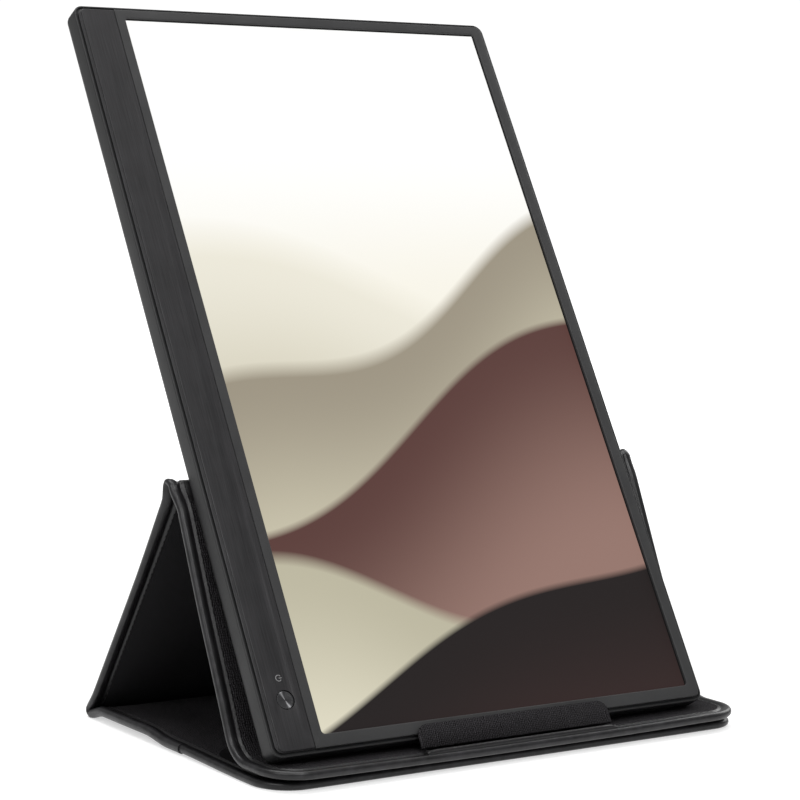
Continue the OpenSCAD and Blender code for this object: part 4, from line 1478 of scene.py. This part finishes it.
class Lip:
    """Cloth lip that holds the monitor's lower edge, and the sewn band at its foot."""

    CORNER_R = 5 * MM
    FOOT_R = 0.2 * MM
    PROFILE = ((0.55, -1.0), (0.22, -0.86), (0.06, -0.55), (0.0, 0.0), (0.06, 0.55), (0.22, 0.86),
               (0.55, 1.0))
    BEAD_R = 1.2 * MM
    BAND_H = 0.5 * MM
    BAND_FOOT = 0.9 * MM
    END_R = 1.2 * MM

    def __init__(self, cover: Cover) -> None:
        """Read the lip's place from the frame."""
        self.cover = cover
        self.bench = cover.bench
        self.tilt = Tilt()
        self.low, self.high = self.tilt.box("lip_fabric")

    def build(self) -> None:
        """Make the lip, the band and its stitches."""
        lo, hi = self.low, self.high
        mid, half = (lo.z + hi.z) / 2, (hi.z - lo.z) / 2
        rings = []
        for inset, height in self.PROFILE:
            d = inset * half
            radii = [self.FOOT_R, self.FOOT_R, self.CORNER_R - d, self.CORNER_R - d]
            rings.append(rounded_ring(lo.x + d, hi.x - d, lo.y, hi.y - d, mid + height * half, radii, 8))
        mesh = mesh_of("lip_cloth", *loft(rings))
        map_sheet(mesh, lambda co: co.xy)
        self.tilt.settle(mesh, math.radians(70))
        self.bench.fit(shown("lip_cloth", mesh), Finish.WEAVE, "lip", ["lip_fabric"],
                       self.bench.fine_weave)
        self.build_band()

    def build_band(self) -> None:
        """Raised band sewn along the lip's foot, with two rows of stitches."""
        low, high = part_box("lip_piping")
        back, foot, flat_top = high.y, low.z - self.BAND_FOOT, low.z + self.BAND_H
        bead_r, bead, half_w = self.BEAD_R, low.y + self.BEAD_R, (high.x - low.x) / 2
        section = [(back, foot), (back, flat_top - 0.2 * MM), (back - 0.2 * MM, flat_top)]
        section += [(bead + bead_r * math.cos(a), low.z + bead_r * math.sin(a))
                    for a in turns(30, 180, 10)]
        section.append((low.y, foot))
        rings = []
        for x in spread(-half_w, half_w, 4 * MM):
            end = min(half_w - abs(x), self.END_R) / self.END_R
            lift = 0.55 + 0.45 * math.sqrt(max(0.0, 1 - (1 - end) ** 2))
            rings.append([Vector((x, y, foot + (z - foot) * lift)) for y, z in section])
        mesh = mesh_of("lip_foot_band", *loft(rings))
        mesh.uv_layers.new(name=SHEET_MAP)
        mesh.attributes.new(WEAR_AND_SHEEN, "FLOAT", "POINT")
        outward(mesh)
        smooth(mesh, math.radians(50))
        self.bench.fit(shown("lip_foot_band", mesh), Finish.LEATHER, "ledge", ["lip_piping"])
        rows = [(back - 0.6 * MM, flat_top - 0.12 * MM), (low.y + 0.42 * MM, low.z + 0.78 * MM)]
        places = spread(-half_w + 1.5 * MM, half_w - 1.5 * MM, 3 * MM)
        lines = [[(x, y, z) for x in places] for y, z in rows]
        stitches = self.cover.sweeps.stitches(lines, 3.0 * MM, 2.4 * MM, 0.17 * MM)
        smooth(stitches)
        self.bench.fit(shown("lip_foot_stitches", stitches), Finish.LEATHER, "ledge",
                       material=self.bench.thread)


# ---------- the monitor ----------

class Tilt:
    """The monitor's own axes: X across, Y up its height, Z out of its face."""

    def __init__(self) -> None:
        """Read the lean from the joint along which the monitor lifts out."""
        up = Vector(next(j for j in frame["joints"] if j["name"] == "monitor_lift")["axis"]).normalized()
        across = Vector((1, 0, 0))
        self.turn = Matrix((across, up, across.cross(up))).transposed().to_4x4()
        self.back = self.turn.transposed()

    def box(self, node: str) -> tuple[Vector, Vector]:
        """Lowest and highest corner of a node of the frame, along the monitor's axes."""
        places = [self.back @ v.co for v in frame["nodes"][node].data.vertices]
        return (Vector([min(p[i] for p in places) for i in range(3)]),
                Vector([max(p[i] for p in places) for i in range(3)]))

    def outline(self, node: str) -> tuple[float, ...]:
        """Sides of a node's box across and up the monitor (x0, x1, y0, y1)."""
        low, high = self.box(node)
        return low.x, high.x, low.y, high.y

    def to_frame(self, mesh: bpy.types.Mesh) -> None:
        """Turn a mesh from the monitor's axes into the frame."""
        mesh.transform(self.turn)

    def settle(self, mesh: bpy.types.Mesh, angle: float = SMOOTH_ANGLE) -> None:
        """Turn a mesh into the frame, with its faces outwards and shaded smooth up to an angle."""
        self.to_frame(mesh)
        outward(mesh)
        smooth(mesh, angle)


@dataclass
class MonitorSizes:
    """Sizes of the monitor's visible shells that the boxes of the nodes don't give."""

    corner_r: float = 4.8 * MM
    plate_corner_r: float = 3.4 * MM
    plate_step: float = 1.15 * MM
    end_share: float = 0.35
    window_r: float = 1.8 * MM
    foot_border: float = 7.4 * MM
    head_border: float = 6.3 * MM
    chin_border: float = 24.6 * MM
    right_border: float = 7.1 * MM
    plate_t: float = 1.2 * MM
    pane_r: float = 0.8 * MM
    pane_ease: float = 0.15 * MM
    least_r: float = 0.3 * MM
    joint_gap: float = 0.22 * MM
    button_r: float = 3.9 * MM
    button_gap: float = 0.32 * MM
    mouth_gap: float = 0.3 * MM


class Monitor:
    """The monitor: housing, front plates, display, button and the pieces inside."""

    KEPT = {
        "film_stack": Finish.FILM, "light_guide": Finish.GUIDE, "led_strip": Finish.LAMP,
        "panel_tray": Finish.TRAY, "panel_tapes": Finish.TAPE, "main_board": Finish.PCB,
        "board_chips": Finish.CHIP, "board_screws": Finish.STEEL, "usb_socket": Finish.STEEL,
        "usb_tongue": Finish.CHIP, "panel_cable": Finish.FLEX, "button_board": Finish.PCB,
        "button_cable": Finish.FLEX, "button_switch": Finish.CHIP,
    }
    SHELL_ANGLE = math.radians(32)

    def __init__(self, bench: Bench) -> None:
        """Read the housing's place from the frame."""
        self.bench = bench
        self.sizes = MonitorSizes()
        self.tilt = Tilt()
        self.low, self.high = self.tilt.box("rear_housing")
        self.face = self.tilt.box("front_bezel")[1].z
        button_low, button_high = self.tilt.box("power_button")
        self.button = (button_low + button_high) / 2
        self.window = (self.low.x + self.sizes.chin_border, self.high.x - self.sizes.right_border,
                       self.low.y + self.sizes.foot_border, self.high.y - self.sizes.head_border)

    def build(self) -> None:
        """Make every piece of the monitor."""
        self.build_housing()
        self.build_bezel()
        self.build_chin()
        self.build_display()
        self.build_button()
        self.build_power_mark()
        for node, finish in self.KEPT.items():
            self.bench.dress(frame["nodes"][node], finish)
            LOG.info("%s: kept from the frame, %s", node, finish.value)

    def ring(self, inset: float, z: float, radius: float | None = None, box: Sequence[float] = (),
             square_left: bool = False, square_right: bool = False) -> Ring:
        """Ring round the housing or a plate.

        Args:
            inset: Distance inside the outline.
            z: Height above the housing's back.
            radius: Corner radius of the outline, before the inset.
            box: Outline (x0, x1, y0, y1), the housing's own if it is left out.
            square_left: Keep the left corners square.
            square_right: Keep the right corners square.

        Returns:
            The ring.
        """
        x0, x1, y0, y1 = box or (self.low.x, self.high.x, self.low.y, self.high.y)
        least, gap = self.sizes.least_r, self.sizes.joint_gap
        r = max((self.sizes.corner_r if radius is None else radius) - inset, least)
        left, left_in = (least, min(inset, gap)) if square_left else (r, inset)
        right, right_in = (least, min(inset, gap)) if square_right else (r, inset)
        return rounded_ring(x0 + left_in, x1 - right_in, y0 + inset, y1 - inset, self.low.z + z,
                            [left, right, right, left], 12)

    def finish_shell(self, name: str, rings: Sequence[Ring], wrap: bool = False) -> bpy.types.Object:
        """Loft rings into a closed shell and turn it into the frame."""
        mesh = mesh_of(name, *loft(rings, wrap))
        self.tilt.settle(mesh, self.SHELL_ANGLE)
        return shown(name, mesh)

    def build_housing(self) -> None:
        """Rear housing: a soft-edged tray with a thin rim round the front plates."""
        rim = (self.high.z - self.low.z) / MM
        outside = [(3.6, 0.0), (3.0, 0.03), (2.3, 0.17), (1.6, 0.45), (1.0, 0.9), (0.5, 1.55), (0.18, 2.3),
                   (0.03, 3.0), (0.0, 3.8), (0.0, rim - 0.62), (0.03, rim - 0.4), (0.11, rim - 0.2),
                   (0.26, rim - 0.06), (0.42, rim), (0.74, rim), (0.86, rim - 0.05), (0.92, rim - 0.16),
                   (0.94, rim - 0.78), (2.4, rim - 0.8)]
        inside = [(2.45, 4.6), (2.6, 3.4), (3.2, 2.4), (4.4, 1.7), (5.2, 1.5)]
        rings = [self.ring(i * MM, z * MM) for i, z in outside + inside]
        housing = self.finish_shell("housing_shell", rings)
        low, high = self.tilt.box("usb_socket")
        gap, reach = self.sizes.mouth_gap, 6 * MM
        half_w, half_h = (high.x - low.x) / 2 + gap, (high.z - low.z) / 2 + gap
        centre = Vector(((low.x + high.x) / 2, self.high.y, (low.z + high.z) / 2))
        mouth = rounded_ring(-half_w, half_w, -half_h, half_h, 0, [half_h * 0.98] * 4, 8)
        mesh = mesh_of("mouth_cutter", *loft([[centre + Vector((p.x, y, p.y)) for p in mouth]
                                              for y in (-reach, reach)]))
        self.tilt.to_frame(mesh)
        cut(housing, mesh)
        smooth(housing.data, self.SHELL_ANGLE)
        self.bench.fit(housing, Finish.SHELL, "monitor", ["rear_housing"])

    def plate_heights(self, node: str) -> tuple[float, float]:
        """Underside and top of a front plate over the housing's back, in millimetres."""
        top = (self.tilt.box(node)[1].z - self.low.z) / MM
        return top - self.sizes.plate_t / MM, top

    def build_bezel(self) -> None:
        """Front bezel: a thin plate with eased edges round the window."""
        outline, r = self.tilt.outline("front_bezel"), self.sizes.plate_corner_r
        base, top = self.plate_heights("front_bezel")
        outer = [(0.0, base), (0.0, top - 0.45), (0.05, top - 0.26), (0.17, top - 0.1), (0.38, top - 0.02),
                 (0.6, top)]
        window = [(-0.5, top), (-0.28, top - 0.02), (-0.1, top - 0.1), (0.0, top - 0.26), (0.0, base)]
        rings = [self.ring(i * MM, z * MM, r, outline, square_left=True) for i, z in outer]
        rings += [self.ring(i * MM, z * MM, self.sizes.window_r, self.window) for i, z in window]
        bezel = self.finish_shell("front_frame", rings, wrap=True)
        # Painted light: a lighter copy of the housing's plastic for the bezel's up-tilted face.
        front = SatinShell("satin_front", (0.020, 0.020, 0.0205), (0.028, 0.028, 0.0285)).build()
        self.bench.fit(bezel, Finish.SHELL, "monitor", ["front_bezel"], material=front)

    def build_chin(self) -> None:
        """Chin strip with the round hole that the button sits in."""
        x0, x1, y0, y1 = self.tilt.outline("chin_strip")
        base, top = self.plate_heights("chin_strip")
        step = self.sizes.plate_step / MM
        outer = [(0.0, base), (0.0, top - 1.0), (0.06, top - 0.92), (0.16, top - 0.88), (0.3, top - 0.87),
                 (0.42, top - 0.7), (0.55, top - 0.66), (step - 0.2, top - 0.7), (step, top - 0.6),
                 (step + 0.03, top - 0.24), (step + 0.1, top - 0.09), (step + 0.24, top - 0.01),
                 (step + 0.4, top)]
        rings = []
        for i, z in outer:
            past = (1 - self.sizes.end_share) * min(i, step) * MM
            rings.append(self.ring(i * MM, z * MM, self.sizes.plate_corner_r,
                                   (x0, x1, y0 - past, y1 + past), square_right=True))
        chin = self.finish_shell("chin_plate", rings)
        mesh = pegs([(self.button.x, self.button.y, self.face)], self.sizes.button_r + self.sizes.button_gap,
                    8 * MM, 96)
        self.tilt.to_frame(mesh)
        cut(chin, mesh)
        ease = chin.modifiers.new("ease", "BEVEL")
        ease.width = 0.12 * MM
        ease.segments = 2
        ease.limit_method = "ANGLE"
        ease.angle_limit = math.radians(60)
        apply_modifiers(chin)
        smooth(chin.data, self.SHELL_ANGLE)
        self.bench.fit(chin, Finish.CHIN, "monitor", ["chin_strip"])

    def build_display(self) -> None:
        """Display: a matte pane with the lit picture, mapped over the lit area."""
        low, high = self.tilt.box("lcd_glass")
        base, top, ease = low.z - self.low.z, high.z - self.low.z, self.sizes.pane_ease
        rings = [self.ring(inset, z, self.sizes.pane_r, self.tilt.outline("lcd_glass"))
                 for inset, z in ((ease, base), (0, base + ease), (0, top - ease), (ease, top))]
        mesh = mesh_of("display_pane", *loft(rings))
        x0, x1, y0, y1 = self.window
        map_sheet(mesh, lambda co: ((co.x - x0) / (x1 - x0), (co.y - y0) / (y1 - y0)))
        self.tilt.settle(mesh)
        self.bench.fit(shown("display_pane", mesh), Finish.PANEL, "monitor", ["lcd_glass"])

    def build_button(self) -> None:
        """Power button: a dished cap with a soft rim, on its stem."""
        low, high = self.tilt.box("power_button")
        r, top = self.sizes.button_r, high.z
        stem, edge, dish, flange = 1.5 * MM, r - 0.3 * MM, 0.35 * MM, top - 1.65 * MM
        profile = [(0.0, low.z), (stem - 0.15 * MM, low.z), (stem, low.z + 0.15 * MM), (stem, flange),
                   (r + 0.8 * MM, flange), (r + 0.9 * MM, flange + 0.1 * MM),
                   (r + 0.9 * MM, flange + 0.45 * MM), (r, flange + 0.5 * MM), (r, top - 0.28 * MM),
                   (r - 0.05 * MM, top - 0.12 * MM), (r - 0.16 * MM, top - 0.03 * MM), (edge, top)]
        for i in range(1, 11):
            share = 1 - i / 10
            profile.append((edge * share, top - dish * (1 - share ** 2)))
        centre = Vector((self.button.x, self.button.y, 0))
        ways = [(math.cos(a), math.sin(a)) for a in (2 * math.pi * j / 96 for j in range(96))]
        rings = [[centre + Vector((radius * c, radius * s, z)) for c, s in ways]
                 for radius, z in ((max(radius, 1e-6), z) for radius, z in profile)]
        points, faces = loft(rings)
        mesh = bpy.data.meshes.new("button_cap")
        mesh.from_pydata(points, [], faces)
        layer = mesh.uv_layers.new(name=SHEET_MAP)
        for polygon in mesh.polygons:
            corners_at = [mesh.vertices[v].co - centre for v in polygon.vertices]
            mid = sum(corners_at, Vector()) / len(corners_at)
            towards = math.atan2(mid.y, mid.x)
            for index, arm in zip(polygon.loop_indices, corners_at):
                angle = math.atan2(arm.y, arm.x)
                angle -= 2 * math.pi * round((angle - towards) / (2 * math.pi))
                layer.data[index].uv = (angle / (2 * math.pi), arm.xy.length)
        self.tilt.settle(mesh, math.radians(40))
        self.bench.fit(shown("button_cap", mesh), Finish.BUTTON, "button", ["power_button"])

    def build_power_mark(self) -> None:
        """Small printed power symbol over the button: an open ring and a bar."""
        centre = Vector((self.button.x - 0.6 * MM, self.button.y + 9.5 * MM, self.face))
        radius, line, rise = 1.28 * MM, 0.14 * MM, 0.02 * MM
        gap = math.radians(36)
        section = ((-line, -rise), (line, -rise), (line, rise), (-line, rise))
        rings = []
        for i in range(41):
            a = gap + (2 * math.pi - 2 * gap) * i / 40
            way = Vector((math.cos(a), math.sin(a), 0))
            rings.append([centre + way * (radius + d) + Vector((0, 0, h)) for d, h in section])
        points, faces = loft(rings)
        bar = [[centre + Vector((x, y, h)) for y, h in section] for x in (0.1 * MM, 1.5 * MM)]
        more, extra = loft(bar)
        faces += [tuple(i + len(points) for i in f) for f in extra]
        mesh = mesh_of("power_mark", points + more, faces)
        self.tilt.to_frame(mesh)
        outward(mesh)
        mark = Plain("printed_mark", (0.15, 0.15, 0.15), (0.2, 0.2, 0.2), 0.6).build()
        self.bench.fit(shown("power_mark", mesh), Finish.CHIN, "monitor", material=mark)


# ---------- the studio ----------

@dataclass
class Studio:
    """Pale floor, soft lights and the camera at the photograph's angle."""

    eye: Vector = field(default_factory=lambda: Vector((-0.63436, -0.9304, 0.25984)))
    forward: Vector = field(default_factory=lambda: Vector((0.55356, 0.82677, -0.10014)))
    upward: Vector = field(default_factory=lambda: Vector((0.04117, 0.09293, 0.99482)))
    lens: float = 113.74
    sensor: float = 36.0
    fill: float = 0.4

    def build(self) -> None:
        """Make the floor, the sky, the lights and the camera."""
        self.build_floor()
        self.build_sky()
        self.build_lights()
        self.build_camera()

    def build_floor(self) -> None:
        """Wide pale floor that brightens into the background away from the object."""
        mesh = mesh_of("floor", [(-30, -30, 0), (30, -30, 0), (30, 30, 0), (-30, 30, 0)], [(0, 1, 2, 3)])
        floor = shown("floor", mesh)
        n = Nodes("pale_floor")
        reach = n.new("ShaderNodeVectorMath", operation="LENGTH")
        n.feed(reach.inputs[0], n.place)
        glow = n.ramp(n.range(reach.outputs["Value"], 0.35, 1.6, 0, 1),
                      [(0, (0.56, 0.56, 0.56)), (1, (1.0, 1.0, 1.0))], True)
        n.set(Base_Color=n.ramp(n.noise(3, 2), [(0, (0.46, 0.46, 0.46)), (1, (0.5, 0.5, 0.5))]),
              Roughness=0.9, Specular_IOR_Level=0.1, Emission_Color=glow, Emission_Strength=1.0)
        mesh.materials.append(n.material)

    def build_sky(self) -> None:
        """White backdrop that lights the object softly."""
        world = bpy.data.worlds.new("studio")
        world.use_nodes = True
        tree = world.node_tree
        background = tree.nodes["Background"]
        background.inputs["Color"].default_value = (1, 1, 1, 1)
        path, level = tree.nodes.new("ShaderNodeLightPath"), tree.nodes.new("ShaderNodeMapRange")
        level.inputs["To Min"].default_value = self.fill
        level.inputs["To Max"].default_value = 1.05
        tree.links.new(path.outputs["Is Camera Ray"], level.inputs["Value"])
        tree.links.new(level.outputs["Result"], background.inputs["Strength"])
        bpy.context.scene.world = world

    def build_lights(self) -> None:
        """Soft boxes: a key from the left front, a wide top light and one from the right rear."""
        for name, place, aim, size, power in (
                ("key", (-1.5, -0.7, 1.3), (0, 0, 0.12), 1.0, 14),
                ("top", (-0.1, 0.3, 1.9), (0, 0, 0.1), 1.5, 30),
                ("right", (1.5, 0.5, 1.0), (0, 0, 0.12), 1.0, 12),
                ("front", (-0.3, -1.3, 1.5), (0, 0, 0.12), 0.8, 14)):
            light = bpy.data.lights.new(name, "AREA")
            light.shape = "SQUARE"
            light.size = size
            light.energy = power
            item = shown(name, light)
            item.location = place
            item.rotation_euler = (Vector(aim) - Vector(place)).to_track_quat("-Z", "Y").to_euler()

    def build_camera(self) -> None:
        """Camera with the photograph's place, lens and slight roll."""
        data = bpy.data.cameras.new("camera")
        data.lens = self.lens
        data.sensor_width = self.sensor
        data.clip_end = 100
        camera = shown("camera", data)
        back = -self.forward.normalized()
        right = self.upward.cross(back).normalized()
        up = back.cross(right)
        turn = Matrix((right, up, back)).transposed().to_4x4()
        camera.matrix_world = Matrix.Translation(self.eye) @ turn
        bpy.context.scene.camera = camera
        bpy.context.scene.view_settings.view_transform = "Standard"


def corners(box: Sequence[Sequence[float]]) -> list[list[float]]:
    """A box's corners as plain lists."""
    return [[float(c) for c in corner] for corner in box]


def main() -> None:
    """Build the object's looks around the frame, then the studio, and log how many pieces were made."""
    logging.basicConfig(level=logging.INFO, format="%(name)s: %(message)s")
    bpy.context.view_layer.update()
    bench = Bench()
    Cover(bench).build()
    for node in ("bottom_magnets", "ledge_magnets"):
        bench.dress(frame["nodes"][node], Finish.MAGNET)
    bench.dress(frame["nodes"]["lip_board"], Finish.BOARD)
    Monitor(bench).build()
    Studio().build()
    LOG.info("%d pieces made", bench.count)


if __name__ == "__main__":
    main()
